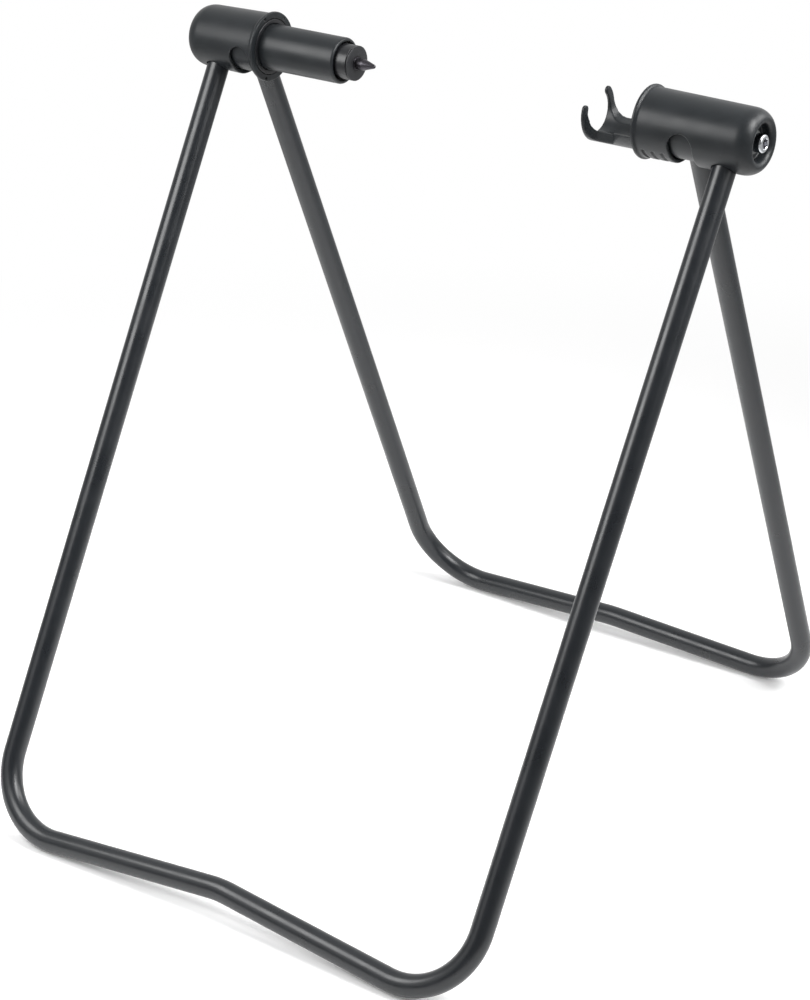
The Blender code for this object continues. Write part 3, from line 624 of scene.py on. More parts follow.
@dataclass
class TubeFrame:
    """One U-shaped frame of bent tube, which leans in a plane through the head axis."""

    name: str
    body: Body
    side: int
    tilt: float  # radians from upright
    half_top: float  # half width between the legs' middles at the head axis
    toe_in: float  # how much nearer the middle a leg ends than it starts
    kink: float  # how far the foot bar's middle is bent up
    tube_radius: float = 6.35 * MM
    wall: float = 1.2 * MM
    corner_radius: float = 40.8 * MM
    kink_radius: float = 70 * MM
    past_axis: float = 9 * MM  # how far a leg runs on above the head axis
    leg_hole_length: float = 27 * MM
    sides: int = 40
    bend_step: float = math.radians(3)

    @property
    def half_foot(self) -> float:
        """Half width between the legs' centres where they would meet the foot bar."""
        return self.half_top - self.toe_in

    @property
    def corner(self) -> float:
        """Distance down the frame's plane from the head axis to its sharp corners."""
        reach = (HEAD_AXIS.z - self.tube_radius) / math.cos(self.tilt)
        rise = math.atan2(self.kink, self.half_foot)
        splay = math.atan2(self.toe_in, reach)
        setback = self.corner_radius * math.tan((math.radians(90) + rise - splay) / 2)
        return reach + setback * math.sin(rise) + self.corner_radius * (math.cos(rise) - 1)

    def point(self, outward: float, down: float) -> Vector:
        """A point of the frame's plane, at a distance down from the head axis."""
        aside = self.side * down * math.sin(self.tilt)
        return HEAD_AXIS + Vector((outward, aside, -down * math.cos(self.tilt)))

    def leg_top(self, hand: int) -> Vector:
        """Where one leg's centreline crosses the head axis."""
        return self.point(hand * self.half_top, 0.0)

    def leg_down(self, hand: int) -> Vector:
        """Unit vector down one leg."""
        return (self.point(hand * self.half_foot, self.corner) - self.leg_top(hand)).normalized()

    def corners(self) -> Corners:
        """Sharp corners of the centreline, from left to right.

        Returns:
            Pairs of a point and a bend radius; the two ends have none.
        """
        return [
            (self.leg_top(LEFT) - self.leg_down(LEFT) * self.past_axis, 0),
            (self.point(-self.half_foot, self.corner), self.corner_radius),
            (self.point(0.0, self.corner - self.kink), self.kink_radius),
            (self.point(self.half_foot, self.corner), self.corner_radius),
            (self.leg_top(RIGHT) - self.leg_down(RIGHT) * self.past_axis, 0),
        ]

    def skin(self) -> Piece:
        """Bend the tube's outer skin: straight runs are extruded and bends are spun.

        Returns:
            The open skin.
        """
        path = self.corners()
        here = path[0][0]
        direction = (path[1][0] - here).normalized()
        shape = bmesh.new()
        bmesh.ops.create_circle(
            shape, segments=self.sides, radius=self.tube_radius,
            matrix=Matrix.LocRotScale(here, direction.to_track_quat("Z", "Y"), None),
        )
        edges = shape.edges[:]
        for (before, _), (corner, radius), (after, _) in zip(path, path[1:], path[2:]):
            into = (corner - before).normalized()
            out = (after - corner).normalized()
            turn = into.angle(out)
            start = corner - into * radius * math.tan(turn / 2)
            centre = corner + (out - into).normalized() * radius / math.cos(turn / 2)
            edges = self.run_on(shape, edges, start - here)
            bend = bmesh.ops.spin(
                shape, geom=edges + list({v: e for e in edges for v in e.verts}), cent=centre,
                axis=into.cross(out).normalized(), angle=turn,
                steps=math.ceil(turn / self.bend_step),
            )
            edges = [part for part in bend["geom_last"] if isinstance(part, bmesh.types.BMEdge)]
            here = corner + out * radius * math.tan(turn / 2)
        self.run_on(shape, edges, path[-1][0] - here)
        bmesh.ops.remove_doubles(shape, verts=shape.verts, dist=WELD)
        return to_object(self.name + "_steel_tube", shape)

    def run_on(self, shape: Shape, edges: Edges, along: Vector) -> Edges:
        """Extrude the tube's last ring straight on.

        Args:
            shape: The skin so far.
            edges: The last ring.
            along: How far it runs.

        Returns:
            The new last ring.
        """
        made = bmesh.ops.extrude_edge_only(shape, edges=edges)["geom"]
        moved = [part for part in made if isinstance(part, bmesh.types.BMVert)]
        bmesh.ops.translate(shape, verts=moved, vec=along)
        return [part for part in made if isinstance(part, bmesh.types.BMEdge)]

    def build(self) -> None:
        """Make the tube with its wall and the cross holes of the pivot screws."""
        tube = self.skin()
        wall = tube.modifiers.new("wall", "SOLIDIFY")
        wall.thickness = self.wall
        wall.offset = -1.0
        wall.use_even_offset = True
        settle(tube)
        for hand in (LEFT, RIGHT):
            across = OUTWARD * (self.tube_radius + PAST)
            middle = self.leg_top(hand)
            cut(tube, rod("screw_hole", middle - across, middle + across, SCREW_HOLE_RADIUS))
        place(tube, self.body, TUBE_COAT, self.name + "_tube")

    def leg_hole(self, hand: int) -> Piece:
        """Shape the blind cross hole that takes the top of a leg from below.

        Args:
            hand: The head, left or right.

        Returns:
            The tool.
        """
        top, down = self.leg_top(hand), self.leg_down(hand)
        return rod(
            "leg_hole", top - down * (self.past_axis + GAP), top + down * self.leg_hole_length,
            LEG_HOLE_RADIUS,
        )


@dataclass
class Housing:
    """A moulded housing: sleeve, mouth flange, rounded nose, screw recess and curved slot."""

    name: str
    hand: int
    mouth: float
    front: TubeFrame
    rear: TubeFrame
    end: float = 182.5 * MM
    radius: float = 18.5 * MM
    taper: float = 0.9 * MM
    nose_radius: float = 6.6 * MM
    nose_length: float = 9 * MM
    flange_radius: float = 19.7 * MM
    flange_width: float = 1.8 * MM
    flange_edge: float = 0.3 * MM
    flange_root: float = 0.8 * MM
    bore_radius: float = 15.9 * MM
    bore_end: float = 157.35 * MM
    recess_radius: float = 9.8 * MM
    recess_lip: float = 3.0 * MM
    recess_floor: float = 175.65 * MM
    slot_half_width: float = 7.05 * MM
    slot_start: float = math.radians(196)  # end that the folded rear leg meets
    slot_play: float = math.radians(1.24)  # from the open rear leg to the middle of the slot's end
    nick_angles: tuple[float, ...] = (50, 110, 250)  # degrees
    nick_width: float = 1.4 * MM
    nick_depth: float = 1.3 * MM
    grip_grooves: int = 0
    grip_first: float = 5.3 * MM
    grip_pitch: float = 5.7 * MM
    grip_width: float = 1.8 * MM
    grip_depth: float = 1.2 * MM
    grip_half_angle: float = math.radians(55)
    voxel: float = 0.46 * MM

    def outline(self) -> Outline:
        """Draw the half section.

        Returns:
            Its corners, once round.
        """
        nose_centre = self.radius - self.taper - self.nose_radius
        lip_top = self.recess_radius + self.recess_lip
        nose_start = math.asin((lip_top - nose_centre) / self.nose_radius)
        lip_end = self.end - self.nose_length * (1 - math.cos(nose_start))
        mouth = self.mouth
        root = mouth + self.flange_width
        return [
            (mouth, self.bore_radius, 0),
            (self.bore_end, self.bore_radius, 0),
            (self.bore_end, SCREW_HOLE_RADIUS, 0),
            (self.recess_floor, SCREW_HOLE_RADIUS, 0),
            (self.recess_floor, self.recess_radius, 0),
            # the rounded lip of the recess, and the nose that it runs on to
            *arc(
                (lip_end - self.recess_lip, lip_top), (self.recess_lip, self.recess_lip),
                270, 350, 8,
            ),
            *arc(
                (self.end - self.nose_length, nose_centre), (self.nose_length, self.nose_radius),
                math.degrees(nose_start), 90, 12,
            ),
            (root + self.flange_root, self.radius, 0),
            (root, self.radius + self.flange_root / 2, 0),
            (root, self.flange_radius - self.flange_edge, 0),
            (root - self.flange_edge, self.flange_radius, 0),
            (mouth + self.flange_edge, self.flange_radius, 0),
            (mouth, self.flange_radius - self.flange_edge, 0),
        ]

    def slot_tools(self) -> Iterator[Piece]:
        """Shape the curved slot that the rear leg swings in.

        Yields:
            The slot and its two drilled ends.
        """
        middle, half = self.hand * self.rear.half_top, self.slot_half_width
        inner, outer = self.bore_radius - half, self.flange_radius + PAST
        ends = self.slot_start, DOWN + self.rear.tilt - self.slot_play
        yield ring_sector("turning_slot", middle, 2 * half, inner, outer, *ends)
        for angle in ends:
            start, end = polar(middle, inner, angle), polar(middle, outer, angle)
            yield rod("slot_end", start, end, half)

    def grip_tools(self) -> Iterator[Piece]:
        """Shape the short grooves under the housing.

        Yields:
            Each groove.
        """
        ring = self.radius - self.grip_depth, self.radius + PAST
        ends = DOWN - self.grip_half_angle, DOWN + self.grip_half_angle
        for number in range(self.grip_grooves):
            middle = self.mouth + self.grip_first + number * self.grip_pitch
            yield ring_sector("grip_groove", self.hand * middle, self.grip_width, *ring, *ends)

    def nick_tools(self) -> Iterator[Piece]:
        """Shape the short radial nicks in the mouth's face.

        Yields:
            Each nick.
        """
        middle = (self.bore_radius + self.flange_radius) / 2
        reach = (self.flange_radius - self.bore_radius) / 4
        half = self.nick_width / 2 / self.flange_radius
        for angle in map(math.radians, self.nick_angles):
            ring = middle - reach, middle + reach, angle - half, angle + half
            yield ring_sector("mouth_nick", self.hand * self.mouth, 2 * self.nick_depth, *ring)

    def build(self) -> None:
        """Make the housing."""
        item = turned(self.name + "_moulding", self.hand, self.outline())
        cut(item, self.front.leg_hole(self.hand))
        for tool in chain(self.slot_tools(), self.grip_tools(), self.nick_tools()):
            cut(item, tool)
        soften(item, self.voxel)
        place(item, Body.FRONT, HEAD_NYLON, self.name)


@dataclass
class PivotFasteners:
    """Socket screw, washers and lock nut of one head."""

    side: str
    hand: int
    tip: float = 121.0 * MM
    radius: float = 3 * MM
    head_seat: float = 177.25 * MM
    head_radius: float = 5 * MM
    head_height: float = 5.5 * MM
    tip_edge: float = 0.5 * MM
    seat_edge: float = 0.1 * MM
    head_edge: float = 1.5 * MM
    socket_radius: float = 3.0 * MM
    socket_depth: float = 2.6 * MM
    socket_bevel: float = 0.35 * MM
    # thickness of the dark disc of painted shade at the socket's bottom
    shade_disc_thickness: float = 0.3 * MM
    steps: int = 64

    def build(self) -> None:
        """Make the screw and dress the small pieces that stay as packed."""
        top = self.head_seat + self.head_height
        outline = [
            (self.tip, 0, 0),
            (self.tip, self.radius, self.tip_edge),
            (self.head_seat, self.radius, 0),
            (self.head_seat, self.head_radius, self.seat_edge),
            (top, self.head_radius, self.head_edge),
            (top, 0, 0),
        ]
        screw = turned(self.side + "_socket_screw", self.hand, outline, self.steps, segments=8)
        floor = HEAD_AXIS + OUTWARD * self.hand * (top - self.socket_depth)
        mouth = HEAD_AXIS + OUTWARD * self.hand * (top + PAST)
        cut(screw, rod("socket", floor, mouth, self.socket_radius, HEXAGON))
        bevel = self.socket_bevel
        cone = [
            (top - bevel, 0, 0),
            (top - bevel, self.socket_radius - bevel, 0),
            (top + bevel, self.socket_radius + bevel, 0),
            (top + bevel, 0, 0),
        ]
        cut(screw, turned("socket_lead_in", self.hand, cone, self.steps))
        place(screw, Body.FRONT, SCREW_CHROME, self.side + "_pivot_screw")
        # a thin dark steel disc at the bottom of the socket: painted shade there
        half = OUTWARD * self.hand * self.shade_disc_thickness
        radius = self.socket_radius - SMALL_GAP
        painted_shade_disc = rod(self.side + "_socket_painted_shade", floor - half, floor + half, radius, HEXAGON)
        place(painted_shade_disc, Body.FRONT, PIN_STEEL)
        for kind in ("_screw_washer", "_nut_washer", "_lock_nut"):
            NUT_ZINC.put_on_node(self.side + kind)
        CUP_ACETAL.put_on_node(self.side + "_friction_washer")


@dataclass
class Journal:
    """What spindle and cradle share: the journal that turns in its housing."""

    rear: TubeFrame
    nut_seat: float = 129.05 * MM
    journal_end: float = 155.35 * MM
    journal_radius: float = 15.6 * MM
    journal_edge: float = 1.1 * MM

    def journal(self, bore_radius: float) -> Outline:
        """Draw the half section's part at the journal.

        Args:
            bore_radius: Radius of the bore in front of the nut's seat.

        Returns:
            Corners from the bore to the journal's outer edge.
        """
        return [
            (self.nut_seat, bore_radius, 0),
            (self.nut_seat, SCREW_HOLE_RADIUS, 0),
            (self.journal_end, SCREW_HOLE_RADIUS, 0),
            (self.journal_end, self.journal_radius, self.journal_edge),
        ]


@dataclass
class Spindle(Journal):
    """Left turning piece: journal, barrel, and the ring that closes the mouth round it."""

    end: float = 81 * MM
    radius: float = 12.95 * MM
    bore_radius: float = 11.3 * MM
    edge: float = 1.4 * MM
    counterbore_radius: float = 11.1 * MM
    counterbore: float = 2.6 * MM
    lip_radius: float = 10.1 * MM
    lip_length: float = 4 * MM
    mouth: float = 132 * MM
    bush_length: float = 3.2 * MM
    bush_edge: float = 0.35 * MM
    bush_groove: float = 1.6 * MM
    seat_radius: float = 15.89 * MM
    small_edge: float = 0.3 * MM

    def build(self) -> None:
        """Make the spindle and its mouth ring."""
        ring_end = self.mouth + self.bush_length
        step = self.end + self.counterbore
        lip_end = step + self.lip_length
        outline = [
            (self.end, self.counterbore_radius, self.small_edge),
            (step, self.counterbore_radius, 0),
            (step, self.lip_radius, self.small_edge),
            (lip_end, self.lip_radius, 0),
            (lip_end, self.bore_radius, 0),
            *self.journal(self.bore_radius),
            (ring_end + GAP, self.journal_radius, self.small_edge),
            (ring_end + GAP, self.radius, 0),
            (self.end, self.radius, self.edge),
        ]
        spindle = turned("left_spindle_moulding", LEFT, outline, segments=6)
        cut(spindle, self.rear.leg_hole(LEFT))
        place(spindle, Body.REAR, HEAD_NYLON, "left_spindle")

        groove = self.mouth + self.bush_groove
        ring = [
            (self.mouth, self.radius + GAP, self.bush_edge),
            (ring_end, self.radius + GAP, 0),
            (ring_end, self.seat_radius, 0),
            (groove, self.seat_radius, 0),
            (groove, self.journal_radius, 0),
            (self.mouth, self.journal_radius, self.bush_edge),
        ]
        place(turned("left_mouth_ring", LEFT, ring), Body.FRONT, SLEEVE_ACETAL, "left_mouth_bush")


@dataclass
class Cradle(Journal):
    """Right turning piece: journal and the pronged, cut-away cradle for the axle nut."""

    end: float = 82.5 * MM
    rim_end: float = 113 * MM
    bore_radius: float = 11 * MM
    plate: float = 2 * MM
    rim_drop: float = 5.1 * MM  # from the head axis down to the rim's outer edge
    rim_slope: float = math.radians(16)
    rim_fillet: float = 2 * MM
    prong_sweep: float = 8.3 * MM  # radius between end plate and rim
    near_tip: float = math.radians(163)
    far_tip: float = math.radians(43)
    flat_depth: float = 8 * MM  # from the head axis
    flat_start: float = 5.5 * MM
    flat_length: float = 10.4 * MM
    flat_edge: float = 0.8 * MM
    shoulder_radius: float = 14 * MM
    shoulder_inset: float = 0.6 * MM
    root_out: float = 1.8 * MM
    root_depth: float = 13 * MM
    root_edge: float = 0.5 * MM
    voxel: float = 0.38 * MM
    passes: int = 12

    def outline(self) -> Outline:
        """Draw the half section before side and top are opened.

        Returns:
            Its corners, once round.
        """
        return [
            (self.end, self.bore_radius, 0),
            *self.journal(self.bore_radius),
            (self.end, self.journal_radius, 0),
        ]

    def top_tool(self, side: int) -> Piece:
        """Shape what opens one half of the top.

        Seen from the side, it sweeps down from the end plate to the rim. The rim slopes
        towards the bore from its outer edge.

        Args:
            side: The near or the far half.

        Returns:
            The tool.
        """
        radius = self.journal_radius
        clear = 2.2 * radius  # past every corner of the piece
        edge_y = math.sqrt(radius**2 - self.rim_drop**2)
        inward = edge_y / math.cos(self.rim_slope) + PAST
        slope = Matrix.Rotation(side * self.rim_slope, 4, "X")
        edge = HEAD_AXIS + Vector((0, side * edge_y, -self.rim_drop))
        spread = Matrix.Translation(edge) @ slope
        back = self.end + self.plate
        corners = [
            (back, clear, 0),
            (back, 0.0, self.prong_sweep),
            (self.rim_end, 0.0, self.rim_fillet),
            (self.rim_end, clear, 0),
        ]
        outline = [(spread @ Vector((x, side * clear, z)), sweep) for x, z, sweep in corners]
        depth = slope @ Vector((0, -side * (clear + inward), 0))
        return prism("top_opening", outline, depth, segments=14)

    def side_tool(self) -> Piece:
        """Shape what opens the near wall down to its flat, with a round shoulder.

        Returns:
            The tool.
        """
        radius, bend = self.journal_radius, self.shoulder_radius
        outer = radius + 2 * PAST
        back = self.end + self.plate
        flat = self.end + self.flat_start
        bend_y = bend - (radius - self.shoulder_inset)
        begin = math.asin((self.flat_depth + bend_y) / bend)
        centre = flat + self.flat_length + bend * math.cos(begin)
        corners = [
            (back, -outer, 0),
            (back, -self.root_depth, self.root_edge),
            (flat - self.root_out, -(self.flat_depth + self.root_out), self.root_edge),
            (flat, -self.flat_depth, self.flat_edge),
            *arc((centre, bend_y), (bend, bend), 180 + math.degrees(begin), 270, 12),
            (centre + self.shoulder_inset, -outer, 0),
        ]
        below = -2 * radius
        outline = [(HEAD_AXIS + Vector((x, y, below)), edge) for x, y, edge in corners]
        return prism("side_opening", outline, Vector((0, 0, -2 * below)))

    def build(self) -> None:
        """Make the cradle."""
        item = turned("right_cradle_moulding", RIGHT, self.outline(), segments=6)
        cut(item, self.rear.leg_hole(RIGHT))
        for tool in (self.top_tool(NEAR), self.top_tool(FAR), self.side_tool()):
            cut(item, tool)
        opening = ring_sector(
            "prong_gap", self.end + self.plate / 2, 2 * self.plate, self.bore_radius - PAST,
            self.journal_radius + PAST, self.far_tip, self.near_tip,
        )
        cut(item, opening)
        half = (self.journal_radius - self.bore_radius) / 2
        for angle in (self.near_tip, self.far_tip):
            start = polar(self.end, self.bore_radius + half, angle)
            tip = rod("prong_tip", start, start + OUTWARD * self.plate, half)
            cut(item, tip, Cut.JOIN)
        soften(item, self.voxel, self.passes)
        place(item, Body.REAR, HEAD_NYLON, "right_cradle")


@dataclass
class Plunger:
    """What slides out of the left spindle: sleeve, cap and pin."""

    face: float = 72.6 * MM  # where the cap ends and the pin stands out
    cap_radius: float = 9.8 * MM
    cap_width: float = 1.0 * MM
    cap_edge: float = 0.4 * MM
    sleeve_radius: float = 9.8 * MM
    sleeve_edge: float = 0.5 * MM
    sleeve_length: float = 24 * MM
    sleeve_face: float = 10 * MM
    pocket_radius: float = 7.7 * MM
    fine_edge: float = 0.1 * MM
    small_edge: float = 0.2 * MM
    rear_edge: float = 0.3 * MM
    collar_start: float = 87.9 * MM
    collar_width: float = 2 * MM
    collar_radius: float = 11 * MM
    hole_radius: float = 2.9 * MM
    pin_radius: float = 3.2 * MM
    shank_radius: float = 2.6 * MM
    pin_collar_radius: float = 3.7 * MM
    pin_collar_proud: float = 0.3 * MM
    pin_collar_width: float = 0.5 * MM
    pin_straight: float = 4.8 * MM
    pin_cone: float = 7.4 * MM
    pin_collar_edge: float = 0.195 * MM
    cone_edge: float = 0.6 * MM
    tip_radius: float = 0.935 * MM
    tip_edge: float = 0.66 * MM
    tail: float = 3 * MM
    tail_edge: float = 0.3 * MM
    groove_depth: float = 0.6 * MM
    clip_width: float = 0.8 * MM
    clip_play: float = 0.15 * MM
    pin_steps: int = 64

    def sleeve(self) -> Piece:
        """Turn the glossy sleeve with its blind pocket for the spring.

        Returns:
            The sleeve.
        """
        start = self.face + self.cap_width + GAP
        floor = start + self.sleeve_face
        end = start + self.sleeve_length
        collar_end = self.collar_start + self.collar_width
        outline = [
            (start, self.hole_radius, 0),
            (floor, self.hole_radius, 0),
            (floor, self.pocket_radius, 0),
            (end, self.pocket_radius, self.small_edge),
            (end, self.sleeve_radius, self.rear_edge),
            (collar_end, self.sleeve_radius, 0),
            (collar_end, self.collar_radius, self.small_edge),
            (self.collar_start, self.collar_radius, self.small_edge),
            (self.collar_start, self.sleeve_radius, 0),
            (start, self.sleeve_radius, self.sleeve_edge),
        ]
        return turned("plunger_sleeve_turning", LEFT, outline)

    def cap(self) -> Piece:
        """Turn the thin cap with its counterbore for the pin's collar.

        Returns:
            The cap.
        """
        seat = self.face - self.pin_collar_proud + self.pin_collar_width + GAP
        outline = [
            (self.face, self.pin_collar_radius + GAP, self.fine_edge),
            (seat, self.pin_collar_radius + GAP, 0),
            (seat, self.hole_radius, 0),
            (self.face + self.cap_width, self.hole_radius, 0),
            (self.face + self.cap_width, self.cap_radius, self.cap_edge),
            (self.face, self.cap_radius, self.cap_edge),
        ]
        return turned("plunger_cap_turning", LEFT, outline)

    def pin(self) -> Piece:
        """Turn the pin: clip groove, shank, collar, straight part and cone.

        Returns:
            The pin.
        """
        floor = self.face + self.cap_width + GAP + self.sleeve_face
        clip = floor + GAP - self.clip_play
        clip_end = floor + GAP + self.clip_width + self.clip_play
        tail = floor + self.tail
        cone = self.face - self.pin_straight
        tip = cone - self.pin_cone
        collar = self.face - self.pin_collar_proud
        collar_end = collar + self.pin_collar_width
        groove = self.shank_radius - self.groove_depth
        outline = [
            (tail, 0, 0),
            (tail, self.shank_radius, self.tail_edge),
            (clip_end, self.shank_radius, 0),
            (clip_end, groove, 0),
            (clip, groove, 0),
            (clip, self.shank_radius, 0),
            (collar_end, self.shank_radius, 0),
            (collar_end, self.pin_collar_radius, 0),
            (collar, self.pin_collar_radius, self.pin_collar_edge),
            (collar, self.pin_radius, 0),
            (cone, self.pin_radius, self.cone_edge),
            (tip, self.tip_radius, self.tip_edge),
            (tip, 0, 0),
        ]
        return turned("plunger_pin_turning", LEFT, outline, self.pin_steps)

    def build(self) -> None:
        """Make the sleeve, the cap and the pin, and dress the clip."""
        place(self.sleeve(), Body.PLUNGER, SLEEVE_ACETAL, "plunger_sleeve")
        place(self.cap(), Body.PLUNGER, CAP_ACETAL, "plunger_cap")
        place(self.pin(), Body.PLUNGER, PIN_STEEL, "plunger_pin")
        NUT_ZINC.put_on_node("plunger_clip")


@dataclass
class ReturnSpring:
    """The coil spring behind the sleeve, and the cup that it pushes on."""

    start: float = 84.75 * MM
    end: float = 118.3 * MM
    coil_radius: float = 6.6 * MM
    wire_radius: float = 0.55 * MM
    wire_sides: int = 12
    turns: int = 9
    end_turns: int = 1
    end_pitch: float = 1.8 * MM
    steps: int = 28
    travel: float = 12 * MM

    def build(self) -> None:
        """Wind the spring: closed end turns and open middle turns, each one spin."""
        shape = bmesh.new()
        first = polar(-self.start, self.coil_radius, 0.0)
        bmesh.ops.create_circle(
            shape, segments=self.wire_sides, radius=self.wire_radius, cap_ends=True,
            matrix=Matrix.Translation(first),
        )
        geometry = shape.verts[:] + shape.edges[:] + shape.faces[:]
        middle_turns = self.turns - 2 * self.end_turns
        length = self.end - self.start
        middle_pitch = (length - 2 * self.end_turns * self.end_pitch) / middle_turns
        closed = self.end_turns, self.end_pitch
        for turns, pitch in (closed, (middle_turns, middle_pitch), closed):
            wound = bmesh.ops.spin(
                shape, geom=geometry, cent=HEAD_AXIS, axis=OUTWARD,
                dvec=-OUTWARD * pitch / self.steps, angle=math.tau * turns,
                steps=self.steps * turns,
            )
            geometry = wound["geom_last"]
        spring = to_object("plunger_return_spring", shape)
        place(spring, Body.REAR, WIRE_STEEL, "plunger_spring")
        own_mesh(spring)
        CUP_ACETAL.put_on_node("spring_seat_cup")


# Studio


FULL_SPREAD = 180.0
WHITE = (1.0, 1.0, 1.0, 1.0)


@dataclass
class Lamp:
    """A square soft box, which lights the stand and shows only in its gloss."""

    name: str
    place: tuple[float, float, float]
    aim: tuple[float, float, float]
    size: float
    radiance: float
    spread: float = FULL_SPREAD  # degrees

    def build(self) -> None:
        """Hang the lamp and aim it."""
        data = bpy.data.lights.new(self.name, "AREA")
        data.shape = "SQUARE"
        data.size = self.size
        data.energy = self.radiance * math.pi * self.size**2
        if self.spread < FULL_SPREAD:
            # a narrowed beam is brighter on its axis at the same power, so the power comes down
            half = math.radians(self.spread) / 2
            data.spread = 2 * half
            data.energy *= 1 - half / math.tan(half)
        lamp = add_object(self.name, data)
        lamp.visible_camera = False
        here = Vector(self.place)
        toward = Vector(self.aim) - here
        lamp.matrix_world = Matrix.LocRotScale(here, toward.to_track_quat("-Z", "Y"), None)


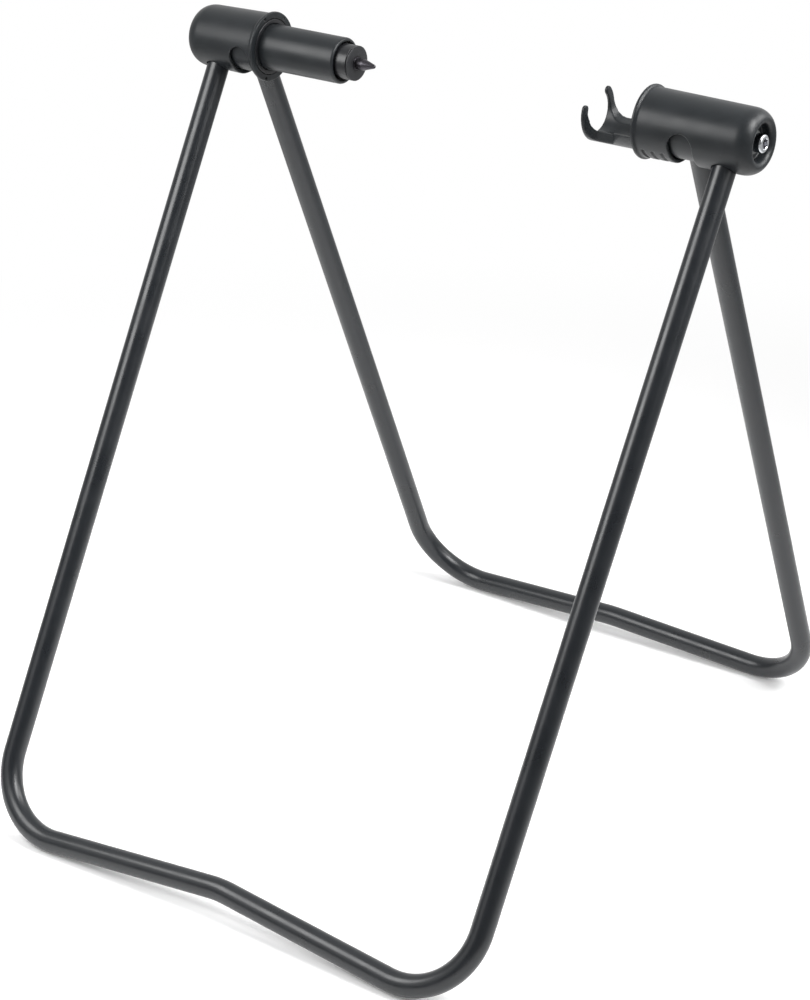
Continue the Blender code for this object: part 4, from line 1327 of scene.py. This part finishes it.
@dataclass
class Studio:
    """White paper floor and backdrop, a dim room behind the camera, and the lamps."""

    floor_size: float = 16.0
    floor_colour: str = "#f6f6f6"
    floor_lift: float = 0.12  # glow that evens the paper out for the camera
    floor_gloss_lift: float = 0.27  # and for the gloss of the stand
    far_gloss: float = 0.6  # how bright the cleared floor is in that gloss
    clear_range: tuple[float, float] = (0.30, 0.90)  # metres over which the floor clears
    backdrop_way: tuple[float, float, float] = (-0.30, 0.90, 0.30)
    backdrop_range: tuple[float, float] = (-0.1, 0.7)  # cosines to it, from room to backdrop
    room_light: float = 0.26
    backdrop_light: float = 0.95
    lens: float = 99.24  # mm
    camera_place: tuple[float, float, float] = (0.8088, -1.1678, 0.8266)
    camera_turn: tuple[float, float, float] = (65.2, 0.0, 35.35)  # degrees
    lamps: list[Lamp] = field(
        default_factory=lambda: [
            Lamp("front_soft_box", (-0.38, -0.56, 0.77), (0.0, 0.0, 0.30), 0.48, 7.2),
            Lamp("front_card", (-0.85, -1.50, 0.98), (0.0, 0.0, 0.20), 1.2, 0.8),
            Lamp("right_card", (1.3, 0.1, 0.82), (0.0, 0.0, 0.35), 0.6, 2.0),
            Lamp("right_top_box", (0.80, 0.05, 1.16), (0.14, 0.03, 0.41), 0.6, 22.0, 56.0),
            Lamp("back_top_card", (0.72, 0.72, 1.02), (0.16, 0.03, 0.42), 0.6, 10.0, 46.0),
        ]
    )

    def floor(self) -> None:
        """Lay the floor: white paper whose shadow stays, and which clears to white far off."""
        shape = bmesh.new()
        bmesh.ops.create_grid(shape, x_segments=1, y_segments=1, size=self.floor_size / 2)
        item = to_object("studio_floor", shape)
        made = bpy.data.materials.new("white_paper_floor")
        made.use_nodes = True
        tree = made.node_tree
        tree.nodes.clear()
        gloss = add_node(tree, "LightPath").outputs["Is Glossy Ray"]
        links = {0: self.seen_directly(tree), 1: gloss}
        seen = add_node(tree, "Math", {"operation": "MAXIMUM"}, links).outputs[0]
        more = self.floor_gloss_lift - self.floor_lift
        in_gloss = add_node(tree, "Math", {"operation": "MULTIPLY", 1: more}, {0: gloss})
        lift = add_node(
            tree, "Math", {"operation": "MULTIPLY_ADD", 1: self.floor_lift},
            {0: seen, 2: in_gloss.outputs[0]},
        )
        paper = add_node(tree, "BsdfDiffuse", {"Color": linear_colour(self.floor_colour)})
        glow = add_node(tree, "Emission", {}, {"Strength": lift.outputs[0]})
        near = add_node(tree, "AddShader", {}, {0: paper.outputs[0], 1: glow.outputs[0]})
        place = add_node(tree, "TexCoord").outputs["Object"]
        away = add_node(tree, "VectorMath", {"operation": "LENGTH"}, {0: place})
        clear = add_node(
            tree, "MapRange", {"interpolation_type": "SMOOTHSTEP"} | limits(*self.clear_range),
            {"Value": away.outputs["Value"]},
        )
        links = {0: clear.outputs["Result"], 1: seen}
        share = add_node(tree, "Math", {"operation": "MULTIPLY"}, links)
        dimmer = add_node(tree, "MapRange", limits(0, 1, 1, self.far_gloss), {"Value": gloss})
        white = add_node(tree, "Emission", {}, {"Strength": dimmer.outputs["Result"]})
        both = add_node(
            tree, "MixShader", {}, {0: share.outputs[0], 1: near.outputs[0], 2: white.outputs[0]}
        )
        add_node(tree, "OutputMaterial", {}, {"Surface": both.outputs[0]})
        item.data.materials.append(made)

    def seen_directly(self, tree: Tree) -> Socket:
        """Tell rays that show the background to the camera.

        Args:
            tree: The node tree that takes the nodes.

        Returns:
            One for those rays, and zero for the rest.
        """
        rays = add_node(tree, "LightPath").outputs
        return add_node(
            tree, "Math", {"operation": "MAXIMUM"},
            {0: rays["Is Camera Ray"], 1: rays["Is Transmission Ray"]},
        ).outputs[0]

    def surroundings(self) -> None:
        """White for the camera; for the rest a white backdrop behind and a dim room in front."""
        world = bpy.data.worlds.new("studio_room")
        bpy.context.scene.world = world
        world.use_nodes = True
        tree = world.node_tree
        tree.nodes.clear()
        way = Vector(self.backdrop_way).normalized()
        toward = add_node(
            tree, "VectorMath", {"operation": "DOT_PRODUCT", 1: way},
            {0: add_node(tree, "TexCoord").outputs["Generated"]},
        )
        light = add_node(
            tree, "MapRange", limits(*self.backdrop_range, self.room_light, self.backdrop_light),
            {"Value": toward.outputs["Value"]},
        )
        room = add_node(tree, "Background", {"Color": WHITE}, {"Strength": light.outputs["Result"]})
        white = add_node(tree, "Background", {"Color": WHITE, "Strength": 1.0})
        both = add_node(
            tree, "MixShader", {},
            {0: self.seen_directly(tree), 1: room.outputs[0], 2: white.outputs[0]},
        )
        add_node(tree, "OutputWorld", {}, {"Surface": both.outputs[0]})

    def camera(self) -> None:
        """Stand the camera where the photograph was taken."""
        data = bpy.data.cameras.new("photo_camera")
        data.lens = self.lens
        item = add_object("photo_camera", data)
        item.location = self.camera_place
        item.rotation_euler = [math.radians(angle) for angle in self.camera_turn]
        bpy.context.scene.camera = item

    def build(self) -> None:
        """Set up the whole studio."""
        bpy.context.scene.view_settings.view_transform = "Standard"
        self.floor()
        self.surroundings()
        for lamp in self.lamps:
            lamp.build()
        self.camera()
        log.info("studio ready")


def main() -> None:
    """Build every sub-assembly in order."""
    logging.basicConfig(level=logging.INFO, format="%(name)s: %(message)s")
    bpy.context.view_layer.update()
    front = TubeFrame(
        "front_frame", Body.FRONT, NEAR, tilt=math.radians(30.4), half_top=165 * MM,
        toe_in=6 * MM, kink=14.1 * MM,
    )
    rear = TubeFrame(
        "rear_frame", Body.REAR, FAR, tilt=math.radians(23.8), half_top=142.7 * MM,
        toe_in=0.2 * MM, kink=8.6 * MM,
    )
    assemblies = [
        front,
        rear,
        Housing("left_housing", LEFT, 132 * MM, front, rear),
        Housing("right_housing", RIGHT, 114.8 * MM, front, rear, grip_grooves=3),
        PivotFasteners("left", LEFT),
        PivotFasteners("right", RIGHT),
        Spindle(rear),
        Cradle(rear),
        Plunger(),
        ReturnSpring(),
        Studio(),
    ]
    for assembly in assemblies:
        assembly.build()
    log.info("sizes written")


if __name__ == "__main__":
    main()
